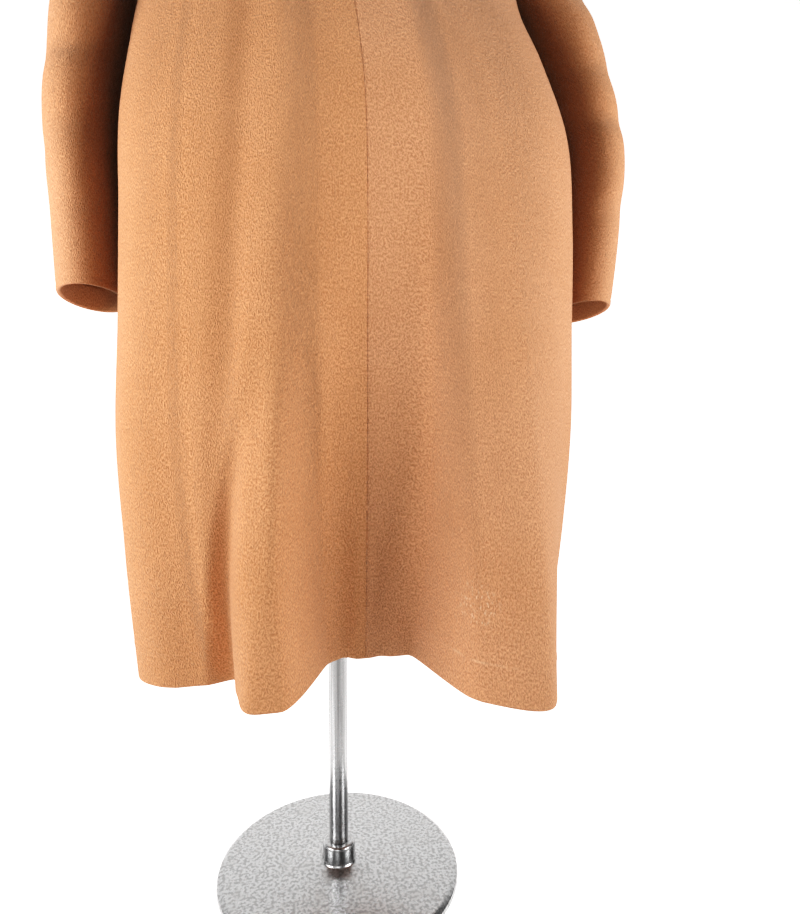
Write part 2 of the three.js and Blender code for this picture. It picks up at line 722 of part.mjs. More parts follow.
function formRing(halfWidth, backDepth, frontDepth, z) {
  const points = [];
  for (let k = 0; k < FORM_COLUMNS; k += 1) {
    const angle = 2 * Math.PI * k / FORM_COLUMNS;
    const depth = Math.cos(angle) > 0 ? backDepth : frontDepth;
    points.push(new THREE.Vector3(-halfWidth * Math.sin(angle), depth * Math.cos(angle), z));
  }
  return points;
}

function formShoulderRing(row, inset, drop) {
  const points = [];
  for (let k = 0; k < FORM_COLUMNS; k += 1) {
    const place = 2 * k / FORM_COLUMNS;
    const wrapped = wrapPlace(place);
    const normal = surfaceNormal(wrapped, row);
    const frontRoom = FORM_FRONT_ROOM * smoothStep(Math.abs(wrapped), FRONT_ROOM_FROM, FRONT_ROOM_TO);
    const depth = CLOTH + FORM_SEAT + inset + frontRoom;
    const point = surfacePoint(wrapped, row).addScaledVector(normal, -depth);
    point.z -= drop;
    points.push(point);
  }
  return points;
}

function formGeometry() {
  const rings = FORM.map(({ halfWidth, backDepth, frontDepth, z }) => {
    return formRing(halfWidth, backDepth, frontDepth, z);
  });
  for (const { row, inset, drop } of FORM_SHOULDERS) {
    rings.push(formShoulderRing(row, inset, drop));
  }
  const { radius, flare, inset: neckInset, low, top } = FORM_NECK;
  rings.push(formShoulderRing(NECK, 0, 0).map(point => {
    const inward = new THREE.Vector3(-point.x, -point.y, 0).normalize();
    return point.addScaledVector(inward, neckInset);
  }));
  const wide = radius + flare;
  rings.push(formRing(wide, wide, wide, low));
  rings.push(formRing(radius, radius, radius, top));
  const triangles = [];
  for (let i = 0; i < rings.length - 1; i += 1) {
    for (let k = 0; k < FORM_COLUMNS; k += 1) {
      const next = (k + 1) % FORM_COLUMNS;
      triangles.push(rings[i][k], rings[i][next], rings[i + 1][next]);
      triangles.push(rings[i][k], rings[i + 1][next], rings[i + 1][k]);
    }
  }
  const bottom = new THREE.Vector3(0, 0, FORM[0].z);
  const lid = new THREE.Vector3(0, 0, top);
  const last = rings[rings.length - 1];
  for (let k = 0; k < FORM_COLUMNS; k += 1) {
    const next = (k + 1) % FORM_COLUMNS;
    triangles.push(bottom, rings[0][next], rings[0][k]);
    triangles.push(lid, last[k], last[next]);
  }
  return closedGeometry(triangles);
}

// The coat

for (const [side, hand] of [[1, 'right'], [-1, 'left']]) {
  addCloth(`back_${hand}`, panelPoints(side, 'back'));
  addCloth(`front_${hand}`, panelPoints(side, 'front'));
  addCloth(`lapel_${hand}`, lapelPoints(side));
  addCloth(`sleeve_${hand}`, sleevePoints(side), true);
}
addCloth('collar', collarPoints());
for (const { name, height } of BUTTONS) addButton(name, height);

// The stand

const lift = (profile, z) => profile.map(point => ({ radius: point.radius, z: point.z + z }));
const poleBottom = BASE_PROFILE[BASE_PROFILE.length - 1].z + HARD_GAP;
const poleTop = FORM[0].z - HARD_GAP;
const POLE_PROFILE = [
  { radius: 0, z: poleBottom },
  { radius: POLE_DIAMETER / 2, z: poleBottom },
  { radius: POLE_DIAMETER / 2, z: poleTop },
  { radius: 0, z: poleTop },
];
addPiece('form_torso', formGeometry(), LINEN);
addPiece('form_cap', turned(lift(CAP_PROFILE, FORM_NECK.top + HARD_GAP), TURNED_SEGMENTS), WOOD);
addPiece('pole', turned(POLE_PROFILE, TURNED_SEGMENTS), STEEL);
addPiece('base', turned(BASE_PROFILE, TURNED_SEGMENTS), STEEL);

export default overcoat;
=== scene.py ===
"""Looks of a wool overcoat that hangs on a dress form.

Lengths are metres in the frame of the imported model: the coat's front faces -Y, the wearer's right
side is at -X, and the origin is the middle of the base's underside. The cloth pieces are thin
shells on the same surface that the model's solids follow, worked out here from the same tables.
"""

import json
import logging
import math
from dataclasses import dataclass, field
from enum import Enum
from typing import Dict, List, NamedTuple, Optional, Sequence, Tuple

import bpy
import numpy as np
from mathutils import Matrix, Vector

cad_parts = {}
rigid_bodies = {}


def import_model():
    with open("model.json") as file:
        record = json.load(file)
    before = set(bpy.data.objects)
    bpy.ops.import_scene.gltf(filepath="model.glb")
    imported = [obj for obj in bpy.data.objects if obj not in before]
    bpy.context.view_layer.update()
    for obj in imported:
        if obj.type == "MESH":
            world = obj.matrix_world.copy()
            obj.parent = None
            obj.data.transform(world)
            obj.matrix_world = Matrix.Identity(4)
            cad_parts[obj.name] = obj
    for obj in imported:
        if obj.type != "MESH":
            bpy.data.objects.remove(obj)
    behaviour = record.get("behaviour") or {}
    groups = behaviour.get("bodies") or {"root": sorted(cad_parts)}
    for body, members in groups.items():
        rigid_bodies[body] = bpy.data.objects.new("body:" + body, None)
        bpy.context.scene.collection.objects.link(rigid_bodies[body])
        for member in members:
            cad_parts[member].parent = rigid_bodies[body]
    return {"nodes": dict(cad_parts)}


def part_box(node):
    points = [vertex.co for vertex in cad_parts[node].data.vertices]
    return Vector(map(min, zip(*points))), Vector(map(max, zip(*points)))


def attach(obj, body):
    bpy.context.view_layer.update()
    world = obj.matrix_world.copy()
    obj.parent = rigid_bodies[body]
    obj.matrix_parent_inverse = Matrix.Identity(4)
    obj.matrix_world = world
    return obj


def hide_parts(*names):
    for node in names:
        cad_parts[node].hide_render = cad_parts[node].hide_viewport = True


LOG = logging.getLogger("overcoat")

Grid = np.ndarray
Colour = Tuple[float, float, float, float]

HEM_Z = 0.360
CLOTH = 0.003
SEAM_GAP = 0.0003
LAYER_GAP = 0.0009
HEM_ALLOWANCE = 0.046
FRONT_OVERLAP = 0.032
BREAK_HEIGHT = 0.800
ROLL_NECK_X = 0.076
RING_Z_CURVE = 2.4
HEM_LIFT = 0.12
ARMHOLE_BACK = 0.150
ARMHOLE_FRONT = 0.175
ARMHOLE_ROUNDNESS = 0.7
ARMHOLE_SPREAD = 1.8
HEAD_DROP = 0.45
COLLAR_ROLL = 0.0065


class Side(Enum):
    """The wearer's right or left, as the sign of a place round the coat."""

    RIGHT = 1
    LEFT = -1


class Part(Enum):
    """A back or a front panel."""

    BACK = "back"
    FRONT = "front"


@dataclass(frozen=True)
class Ring:
    """One ring of the coat's body: heights above the hem, half width, depths, sway and squareness."""

    name: str
    side: float
    back: float
    front: float
    half_width: float
    back_depth: float
    front_depth: float
    sway: float
    square: float


@dataclass(frozen=True)
class Fold:
    """A soft ridge (out above 0) or trough between two places, fading out at its top."""

    name: str
    start: float
    end: float
    soft_start: float
    soft_end: float
    out: float
    top: float
    fade: float
    drift: float
    bottom: float = -1.0


@dataclass(frozen=True)
class SleeveRing:
    """One ring of a sleeve, from the upper arm to the cuff."""

    name: str
    height: float
    back: float
    clear: float
    half_wide: float
    half_deep: float
    rise: float


@dataclass(frozen=True)
class CollarStation:
    """Where the collar's neck edge and outer edge lie, and how high it stands."""

    name: str
    neck: float
    neck_ring: float
    edge: float
    edge_ring: float
    stand: float


RINGS: Tuple[Ring, ...] = (
    Ring("hem", 0.000, 0.000, 0.000, 0.264, 0.236, 0.206, -0.027, 2.55),
    Ring("calf", 0.150, 0.150, 0.150, 0.284, 0.223, 0.198, -0.027, 2.9),
    Ring("knee", 0.300, 0.300, 0.300, 0.302, 0.210, 0.187, -0.027, 2.8),
    Ring("thigh", 0.450, 0.450, 0.450, 0.304, 0.197, 0.174, -0.027, 2.8),
    Ring("hip", 0.580, 0.580, 0.580, 0.305, 0.185, 0.162, -0.027, 2.8),
    Ring("waist", 0.700, 0.700, 0.700, 0.302, 0.171, 0.150, -0.025, 2.7),
    Ring("chest", 0.800, 0.800, 0.798, 0.278, 0.153, 0.142, -0.016, 2.6),
    Ring("armpit", 0.878, 0.868, 0.862, 0.254, 0.138, 0.138, -0.006, 2.5),
    Ring("blade", 0.975, 0.925, 0.912, 0.244, 0.130, 0.134, -0.002, 2.4),
    Ring("tip", 1.075, 0.990, 0.955, 0.228, 0.123, 0.126, 0.0, 2.3),
    Ring("shoulder", 1.106, 1.058, 1.000, 0.152, 0.106, 0.110, 0.0, 2.2),
    Ring("neck", 1.138, 1.125, 1.046, 0.080, 0.068, 0.088, 0.0, 2.1),
)
ARMPIT = 7.0
SHOULDER_TIP = 9.0
NECK = 11.0

FOLDS: Tuple[Fold, ...] = (
    Fold("centre back trough", -0.098, 0.112, 0.034, 0.030, -0.110, 0.780, 1.40, -0.022),
    Fold("right back ridge", 0.158, 0.245, 0.050, 0.075, 0.084, 0.820, 1.6, 0.010),
    Fold("left back ridge", -0.218, -0.110, 0.040, 0.040, 0.004, 0.800, 1.3, 0.040),
    Fold("left back trough", -0.300, -0.214, 0.040, 0.034, -0.030, 0.640, 1.4, 0.030),
    Fold("left side ridge", -0.540, -0.340, 0.060, 0.050, 0.034, 0.620, 1.4, 0.020),
    Fold("right side trough", 0.400, 0.500, 0.050, 0.060, -0.020, 0.520, 1.5, 0.000),
    Fold("right front ridge", 0.560, 0.680, 0.060, 0.060, 0.026, 0.640, 1.4, -0.010),
    Fold("right front trough", 0.720, 0.800, 0.050, 0.050, -0.044, 0.700, 1.5, 0.010),
    Fold("left front ridge", -0.700, -0.620, 0.040, 0.040, 0.024, 0.600, 1.4, 0.000),
    Fold("left front trough", -0.820, -0.750, 0.045, 0.050, -0.038, 0.680, 1.5, -0.010),
)

CREASES: Tuple[Fold, ...] = (
    Fold("along the seam", -0.012, 0.012, 0.026, 0.026, -0.0045, 0.900, 0.4, 0.004, 0.100),
    Fold("beside the seam", 0.018, 0.034, 0.016, 0.016, -0.0070, 0.280, 0.9, 0.000),
    Fold("corner of the trough", -0.044, -0.028, 0.016, 0.016, -0.0110, 0.280, 0.9, 0.000),
    Fold("swell beside the trough", -0.085, -0.045, 0.030, 0.030, 0.0140, 0.740, 0.6, 0.010, 0.160),
    Fold("upper left hollow", -0.064, -0.044, 0.036, 0.036, -0.0070, 1.120, 0.2, 0.000, 0.460),
    Fold("left ridge shoulder", -0.100, -0.066, 0.022, 0.020, 0.0140, 0.680, 0.7, 0.006),
    Fold("left ridge crest", -0.180, -0.154, 0.024, 0.030, 0.0120, 0.500, 0.5, 0.080),
    Fold("left upper crest", -0.138, -0.104, 0.028, 0.052, 0.0115, 1.020, 0.3, 0.024, 0.140),
    Fold("right wall swell", 0.074, 0.104, 0.030, 0.032, 0.0260, 0.620, 0.9, -0.006, 0.020),
    Fold("left slanting trough", -0.226, -0.200, 0.030, 0.034, -0.0185, 0.980, 0.3, 0.050),
    Fold("left low trough", -0.266, -0.246, 0.018, 0.032, -0.0380, 0.480, 1.2, 0.130),
    Fold("upper back hollow", -0.045, 0.030, 0.060, 0.120, -0.0090, 1.020, 0.6, 0.000, 0.300),
    Fold("right panel swell", 0.230, 0.330, 0.090, 0.090, 0.0050, 0.900, 0.8, 0.000, 0.200),
    Fold("left flank dip", -0.420, -0.380, 0.030, 0.030, -0.0050, 0.700, 1.0, 0.020),
    Fold("right side dip", 0.520, 0.550, 0.030, 0.030, -0.0045, 0.620, 1.0, 0.010),
    Fold("right front dip", 0.860, 0.890, 0.030, 0.030, -0.0035, 0.500, 1.0, 0.000),
    Fold("left front dip", -0.900, -0.870, 0.026, 0.030, -0.0035, 0.560, 1.0, 0.004),
    Fold("left front swell", -0.600, -0.560, 0.040, 0.040, 0.0045, 0.760, 0.8, -0.020),
    Fold("right armhole drag", 0.395, 0.420, 0.030, 0.030, -0.0040, 1.010, 0.4, 0.040, 0.640),
    Fold("left armhole drag", -0.425, -0.400, 0.030, 0.030, -0.0045, 1.000, 0.4, -0.050, 0.620),
    Fold("right bust drag", 0.600, 0.625, 0.030, 0.030, -0.0040, 1.000, 0.4, -0.040, 0.640),
    Fold("left bust drag", -0.625, -0.600, 0.030, 0.030, -0.0040, 0.990, 0.4, 0.050, 0.660),
)

LAPEL_WIDTHS: Tuple[float, ...] = (0.004, 0.040, 0.070, 0.090, 0.092)
LAPEL_TOP = 10.5

COLLAR: Tuple[CollarStation, ...] = (
    CollarStation("centre back", 0.0, 11.0, 0.0, 10.58, 0.030),
    CollarStation("back", 0.25, 11.0, 0.26, 10.58, 0.029),
    CollarStation("shoulder", 0.45, 11.0, 0.48, 10.5, 0.024),
    CollarStation("front", 0.8, 10.95, 0.57, 10.3, 0.014),
    CollarStation("notch", 1.0, 10.6, 0.63, 10.15, 0.009),
)

SLEEVES: Tuple[SleeveRing, ...] = (
    SleeveRing("upper arm", 0.846, 0.002, 0.005, 0.046, 0.098, 0.006),
    SleeveRing("elbow", 0.690, -0.004, 0.004, 0.045, 0.088, 0.002),
    SleeveRing("forearm", 0.570, -0.016, 0.004, 0.044, 0.079, 0.005),
    SleeveRing("cuff", 0.487, -0.028, 0.004, 0.044, 0.073, 0.007),
)


def blend(values: Sequence[float], place: float) -> float:
    """Steps smoothly between a table's values.

    Args:
        values: The values of one column, a row each.
        place: The row number, with its fraction.

    Returns:
        The value there.
    """
    last = len(values) - 1
    first = min(max(math.floor(place), 0), last - 1)
    t = place - first
    p0, p1 = values[first], values[first + 1]
    m0 = (p1 - values[first - 1]) / 2 if first > 0 else p1 - p0
    m1 = (values[first + 2] - p0) / 2 if first + 1 < last else p1 - p0
    t2, t3 = t * t, t * t * t
    return p0 * (2 * t3 - 3 * t2 + 1) + m0 * (t3 - 2 * t2 + t) + p1 * (3 * t2 - 2 * t3) + m1 * (t3 - t2)


def smooth_step(value: Grid, low: float, high: float) -> Grid:
    """Goes from 0 at low to 1 at high, with level ends."""
    t = np.clip((value - low) / (high - low), 0.0, 1.0)
    return t * t * (3 - 2 * t)


def unit(vectors: Grid) -> Grid:
    """Scales vectors to a length of one."""
    return vectors / np.maximum(np.linalg.norm(vectors, axis=-1, keepdims=True), 1e-12)


def wrapped(place: Grid) -> Grid:
    """Brings a place past the centre front back on the other side."""
    return np.where(place > 1, place - 2, np.where(place < -1, place + 2, place))


class CoatSurface:
    """The outside of the coat's body, as a surface over places round it and rings up it."""

    STEPS = 360

    def __init__(self) -> None:
        """Keeps the sections that have been worked out."""
        self._sections: Dict[float, Tuple[Ring, Grid, Grid]] = {}

    def ring(self, row: float) -> Ring:
        """Works out a ring between two rows of the table."""
        names = ("side", "back", "front", "half_width", "back_depth", "front_depth", "sway", "square")
        return Ring("between", *(blend([getattr(r, n) for r in RINGS], row) for n in names))

    @staticmethod
    def ring_points(ring: Ring, angle: Grid) -> Grid:
        """Gives a ring's points before any fold.

        Args:
            ring: The ring.
            angle: Angles from the centre back, positive towards the wearer's right.

        Returns:
            One point for each angle.
        """
        s, c = np.sin(angle), np.cos(angle)
        depth = np.where(c >= 0, ring.back_depth, ring.front_depth)
        power = ring.square
        radius = (np.abs(s / ring.half_width) ** power + np.abs(c / depth) ** power) ** (-1 / power)
        climb = np.minimum(np.abs(radius * s) / ring.half_width, 1.0) ** RING_Z_CURVE
        middle = np.where(c >= 0, ring.back, ring.front)
        height = middle + (ring.side - middle) * climb
        return np.stack([ring.sway - radius * s, radius * c, HEM_Z + height], axis=-1)

    def section(self, row: float) -> Tuple[Ring, Grid, Grid]:
        """Gives a ring with its angles and the places that they lie at."""
        key = round(row, 6)
        if key not in self._sections:
            ring = self.ring(row)
            angles = np.linspace(0.0, math.pi, self.STEPS + 1)
            points = self.ring_points(ring, angles)
            lengths = np.concatenate([[0.0], np.cumsum(np.linalg.norm(np.diff(points, axis=0), axis=1))])
            side, total = lengths[self.STEPS // 2], lengths[-1]
            places = np.where(lengths <= side, 0.5 * lengths / side,
                              0.5 + 0.5 * (lengths - side) / (total - side))
            self._sections[key] = (ring, angles, places)
        return self._sections[key]

    @staticmethod
    def fold_offset(folds: Sequence[Fold], place: Grid, height: Grid) -> Grid:
        """Adds up how far folds push the cloth out.

        Args:
            folds: The folds to add up.
            place: Places round the coat.
            height: Heights above the hem.

        Returns:
            The distance out for each place.
        """
        offset = np.zeros_like(place)
        for fold in folds:
            rise = np.clip(height / fold.top, 0.0, 1.0)
            at = place - fold.drift * rise
            enter = smooth_step(at, fold.start - fold.soft_start, fold.start + fold.soft_start)
            leave = 1 - smooth_step(at, fold.end - fold.soft_end, fold.end + fold.soft_end)
            low = smooth_step(height, fold.bottom, fold.bottom + 0.15) if fold.bottom > 0 else 1.0
            offset = offset + fold.out * enter * leave * (1 - rise) ** fold.fade * low
        return offset

    def points(self, place: Grid, row: float) -> Grid:
        """Gives points on the outside of the cloth.

        Args:
            place: Places round the coat, from -1 to 1 and a little past the centre front.
            row: The ring number, with its fraction.

        Returns:
            One point for each place.
        """
        ring, angles, places = self.section(row)
        around = wrapped(np.asarray(place, dtype=float))
        angle = np.sign(around) * np.interp(np.abs(around), places, angles)
        step = 0.004
        point = self.ring_points(ring, angle)
        along = self.ring_points(ring, angle + step) - self.ring_points(ring, angle - step)
        out = unit(np.stack([along[..., 1], -along[..., 0], np.zeros_like(angle)], axis=-1))
        height = point[..., 2] - HEM_Z
        big = self.fold_offset(FOLDS, around, height)
        small = self.fold_offset(CREASES, around, height)
        point = point + out * (big + small)[..., None]
        point[..., 2] += HEM_LIFT * np.maximum(-big, 0.0) * (1 - smooth_step(height, 0.0, 0.7))
        return point

    def normals(self, place: Grid, row: float) -> Grid:
        """Gives the cloth's outward normals at places on one ring."""
        place = np.asarray(place, dtype=float)
        low, high = max(row - 0.02, 0.0), min(row + 0.02, NECK)
        across = self.points(place + 0.002, row) - self.points(place - 0.002, row)
        upward = self.points(place, high) - self.points(place, low)
        return unit(np.cross(across, upward))

    def front_end(self, row: float, covered: bool = False) -> float:
        """Finds the place where a front ends, past the centre front or on the roll line.

        Args:
            row: The ring number.
            covered: Whether the other front's edge lies over this one.

        Returns:
            The place.
        """
        ring = self.section(row)[0]
        if ring.front <= BREAK_HEIGHT:
            return 1 + FRONT_OVERLAP / 2 / (ring.half_width + ring.front_depth)
        place = np.linspace(1.08, 0.5, 401)
        point = self.points(place, row)
        share = (point[:, 2] - HEM_Z - BREAK_HEIGHT) / (RINGS[-1].side - BREAK_HEIGHT)
        own = FRONT_OVERLAP - (FRONT_OVERLAP + ROLL_NECK_X) * share
        roll = np.minimum(own, -own - 2 * LAYER_GAP) if covered else own
        inside = np.nonzero(point[:, 0] - ring.sway <= roll)[0]
        if len(inside) == 0:
            return 0.5
        k = inside[0]
        if k == 0:
            return float(place[0])
        before = point[k - 1, 0] - ring.sway - roll[k - 1]
        after = point[k, 0] - ring.sway - roll[k]
        return float(place[k - 1] + (place[k] - place[k - 1]) * before / (before - after))

    def body_side(self, side: Side, height: float) -> float:
        """Finds how far out the body's side lies at a height above the hem."""
        low, high = 0.0, SHOULDER_TIP
        for _ in range(30):
            middle = 0.5 * (low + high)
            if self.ring(middle).side < height:
                low = middle
            else:
                high = middle
        return float(self.points(np.array([side.value * 0.5]), low)[0, 0])


def armhole_cut(row: float, part: Part) -> float:
    """Says how far the armhole cuts into a panel, towards its centre."""
    share = (row - ARMPIT) / (SHOULDER_TIP - ARMPIT)
    if share <= 0 or share >= 1:
        return 0.0
    depth = ARMHOLE_BACK if part is Part.BACK else ARMHOLE_FRONT
    return depth * math.sin(math.pi * share) ** ARMHOLE_ROUNDNESS


def layer_lift(place: Grid, side: Side) -> Grid:
    """Lifts the right front over the left one near the centre front."""
    near_centre = smooth_step(np.abs(place), 0.80, 0.93)
    return side.value * (0.5 * (CLOTH + LAYER_GAP) + 0.0002) * near_centre


class Edge(Enum):
    """How an edge of a cloth piece is finished."""

    TURNED = "turned"
    SEWN = "sewn"


@dataclass
class ClothSheet:
    """A grid of outer points with its thickness, turned into a closed shell with soft edges.

    Attributes:
        name: The object's name.
        points: Outer points, rows by columns.
        uv: Cloth coordinates in metres, rows by columns.
        thickness: Wall thickness for each row, or for each point.
        edges: How the first row, last row, first column and last column are finished.
        closed: Whether the columns join up into a tube.
        flip: Whether the grid's normals point inwards as they come.
        relief: How far each outer point is moved out by seams, hems and stitching.
    """

    name: str
    points: Grid
    uv: Grid
    thickness: Grid
    edges: Tuple[Edge, Edge, Edge, Edge]
    closed: bool = False
    flip: bool = False
    relief: Optional[Grid] = None
    sewn_round: float = 0.0009
    rim: float = 0.06

    def normals(self) -> Grid:
        """Works out the grid's outward normals."""
        p = self.points
        if self.closed:
            across = np.roll(p, -1, axis=1) - np.roll(p, 1, axis=1)
        else:
            across = np.gradient(p, axis=1)
        normal = unit(np.cross(across, np.gradient(p, axis=0)))
        return -normal if self.flip else normal

    def _edge_distances(self) -> List[Tuple[Grid, Edge]]:
        """Lists each point's distance along the cloth from every edge, with the edge's finish."""
        rows, columns = self.points.shape[:2]
        steps = np.linalg.norm(np.diff(self.points, axis=0), axis=2)
        down = np.vstack([np.zeros((1, columns)), np.cumsum(steps, axis=0)])
        found = [(down, self.edges[0]), (down[-1] - down, self.edges[1])]
        if not self.closed:
            steps = np.linalg.norm(np.diff(self.points, axis=1), axis=2)
            along = np.hstack([np.zeros((rows, 1)), np.cumsum(steps, axis=1)])
            found += [(along, self.edges[2]), (along[:, -1:] - along, self.edges[3])]
        return found

    def _drops(self, thickness: Grid) -> Tuple[Grid, Grid, Grid]:
        """Works out how far edges draw the outer and inner faces in, and how full the relief is."""
        outer, inner = np.zeros_like(thickness), np.zeros_like(thickness)
        full = np.ones_like(thickness)
        for distance, edge in self._edge_distances():
            radius = (0.5 - self.rim) * thickness if edge is Edge.TURNED else self.sewn_round
            t = np.clip(distance / radius, 0.0, 1.0)
            bulge = np.sqrt(np.clip(1 - (1 - t) ** 2, 0.0, 1.0))
            outer = np.maximum(outer, radius * (1 - bulge))
            if edge is Edge.TURNED:
                inner = np.maximum(inner, radius * (1 - bulge))
                full = np.minimum(full, bulge)
        return outer, inner, full

    def _faces(self, rows: int, columns: int) -> List[Tuple[int, ...]]:
        """Lists the faces of both walls and of the strips that join them at the edges."""
        index = np.arange(rows * columns).reshape(rows, columns)
        back = index + rows * columns
        faces: List[Tuple[int, ...]] = []
        last = columns if self.closed else columns - 1
        for i in range(rows - 1):
            for j in range(last):
                k = (j + 1) % columns
                faces.append((index[i, j], index[i, k], index[i + 1, k], index[i + 1, j]))
                faces.append((back[i, j], back[i + 1, j], back[i + 1, k], back[i, k]))
        for j in range(last):
            k = (j + 1) % columns
            faces.append((index[0, k], index[0, j], back[0, j], back[0, k]))
            faces.append((index[-1, j], index[-1, k], back[-1, k], back[-1, j]))
        if not self.closed:
            for i in range(rows - 1):
                faces.append((index[i, 0], index[i + 1, 0], back[i + 1, 0], back[i, 0]))
                faces.append((index[i + 1, -1], index[i, -1], back[i, -1], back[i + 1, -1]))
        if self.flip:
            faces = [face[::-1] for face in faces]
        return [tuple(int(v) for v in face) for face in faces]

    def build(self, finish: "Finish", node: str) -> bpy.types.Object:
        """Makes the shell as an object that rides on the body and stands for a node.

        Args:
            finish: The finish to dress it with.
            node: The CAD node that it replaces.

        Returns:
            The new object.
        """
        rows, columns = self.points.shape[:2]
        normal = self.normals()
        thickness = np.array(np.broadcast_to(self.thickness, (rows, columns)), dtype=float)
        outer_drop, inner_drop, full = self._drops(thickness)
        if self.relief is not None:
            outer_drop = outer_drop - self.relief * full
        outer = self.points - normal * outer_drop[..., None]
        inner = self.points - normal * (thickness - inner_drop)[..., None]
        vertices = np.concatenate([outer.reshape(-1, 3), inner.reshape(-1, 3)])
        mesh = bpy.data.meshes.new(self.name)
        mesh.from_pydata(vertices.tolist(), [], self._faces(rows, columns))
        cloth = np.concatenate([self.uv.reshape(-1, 2), self.uv.reshape(-1, 2)])
        layer = mesh.uv_layers.new(name="UVMap")
        corners = np.zeros(len(mesh.loops), dtype=np.int32)
        mesh.loops.foreach_get("vertex_index", corners)
        values = cloth[corners]
        if self.closed:
            values = self._closed_uv(values, corners, columns)
        layer.data.foreach_set("uv", values.astype(np.float32).ravel())
        shell = bpy.data.objects.new(self.name, mesh)
        bpy.context.scene.collection.objects.link(shell)
        mesh.polygons.foreach_set("use_smooth", [True] * len(mesh.polygons))
        mesh.update()
        mesh.materials.append(finish.material())
        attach(shell, "root")
        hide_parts(node)
        return shell

    def _closed_uv(self, values: Grid, corners: Grid, columns: int) -> Grid:
        """Carries the cloth coordinates of a tube on past its closing column."""
        quads = (corners % columns).reshape(-1, 4)
        wraps = (quads.max(axis=1) == columns - 1) & (quads.min(axis=1) == 0)
        around = self.uv[0, -1, 0] - self.uv[0, 0, 0] + (self.uv[0, 1, 0] - self.uv[0, 0, 0])
        values = values.reshape(-1, 4, 2).copy()
        values[..., 0] += np.where(wraps[:, None] & (quads == 0), around, 0.0)
        return values.reshape(-1, 2)


def columns_across(width: float, step: float, edge: float) -> Grid:
    """Spaces columns across a panel, closer together next to its two edges.

    Args:
        width: The panel's width.
        step: The spacing in the middle.
        edge: How far from an edge the close columns reach.

    Returns:
        Shares of the way across, from 0 to 1.
    """
    close = np.array([0.0, 0.12, 0.3, 0.55, 0.8, 1.0]) * edge
    middle = np.linspace(edge, width - edge, max(int((width - 2 * edge) / step), 4))
    return np.unique(np.round(np.concatenate([close, middle, width - close]) / width, 7))


class NodeBench:
    """Adds and wires the nodes of one tree."""

    def __init__(self, tree: bpy.types.NodeTree) -> None:
        """Keeps the tree."""
        self.tree = tree

    def add(self, kind: str, inputs: Optional[Dict[object, object]] = None,
            **settings: object) -> bpy.types.Node:
        """Adds a node.

        Args:
            kind: The node's type, such as ShaderNodeMath.
            inputs: Values or output sockets for its inputs, by name or number.
            settings: Properties to set on it.

        Returns:
            The node.
        """
        node = self.tree.nodes.new(kind)
        for key, value in settings.items():
            setattr(node, key, value)
        for key, value in (inputs or {}).items():
            if isinstance(value, bpy.types.NodeSocket):
                self.tree.links.new(value, node.inputs[key])
            else:
                node.inputs[key].default_value = value
        return node

    def math(self, operation: str, a: object, b: object = 0.0, clamp: bool = False) -> bpy.types.NodeSocket:
        """Adds a Math node and gives its output."""
        return self.add("ShaderNodeMath", {0: a, 1: b}, operation=operation, use_clamp=clamp).outputs[0]

    def mix(self, factor: object, a: object, b: object, blend_type: str = "MIX") -> bpy.types.NodeSocket:
        """Adds a colour Mix node and gives its output."""
        node = self.add("ShaderNodeMix", {0: factor, 6: a, 7: b}, data_type="RGBA", blend_type=blend_type)
        return node.outputs[2]

    def ramp(self, value: object, low: float, high: float) -> bpy.types.NodeSocket:
        """Maps a range smoothly to 0 and 1."""
        node = self.add("ShaderNodeMapRange", {0: value, 1: low, 2: high, 3: 0.0, 4: 1.0},
                        interpolation_type="SMOOTHSTEP")
        return node.outputs[0]

    def noise(self, vector: object, scale: float, detail: float = 2.0, rough: float = 0.5,
              distortion: float = 0.0) -> bpy.types.NodeSocket:
        """Adds a Noise node and gives its factor."""
        node = self.add("ShaderNodeTexNoise", {"Vector": vector, "Scale": scale, "Detail": detail,
                                               "Roughness": rough, "Distortion": distortion})
        return node.outputs["Fac"]


def new_group(name: str, inputs: Dict[str, Tuple[str, object]],
              outputs: Dict[str, str]) -> Tuple[bpy.types.NodeTree, bpy.types.Node, bpy.types.Node]:
    """Starts a shader node group.

    Args:
        name: The group's name.
        inputs: Socket kind and default value by input name.
        outputs: Socket kind by output name.

    Returns:
        The group with its input and output nodes.
    """
    group = bpy.data.node_groups.new(name, "ShaderNodeTree")
    for title, (kind, value) in inputs.items():
        socket = group.interface.new_socket(name=title, in_out="INPUT", socket_type=kind)
        if value is not None:
            socket.default_value = value
    for title, kind in outputs.items():
        group.interface.new_socket(name=title, in_out="OUTPUT", socket_type=kind)
    return group, group.nodes.new("NodeGroupInput"), group.nodes.new("NodeGroupOutput")


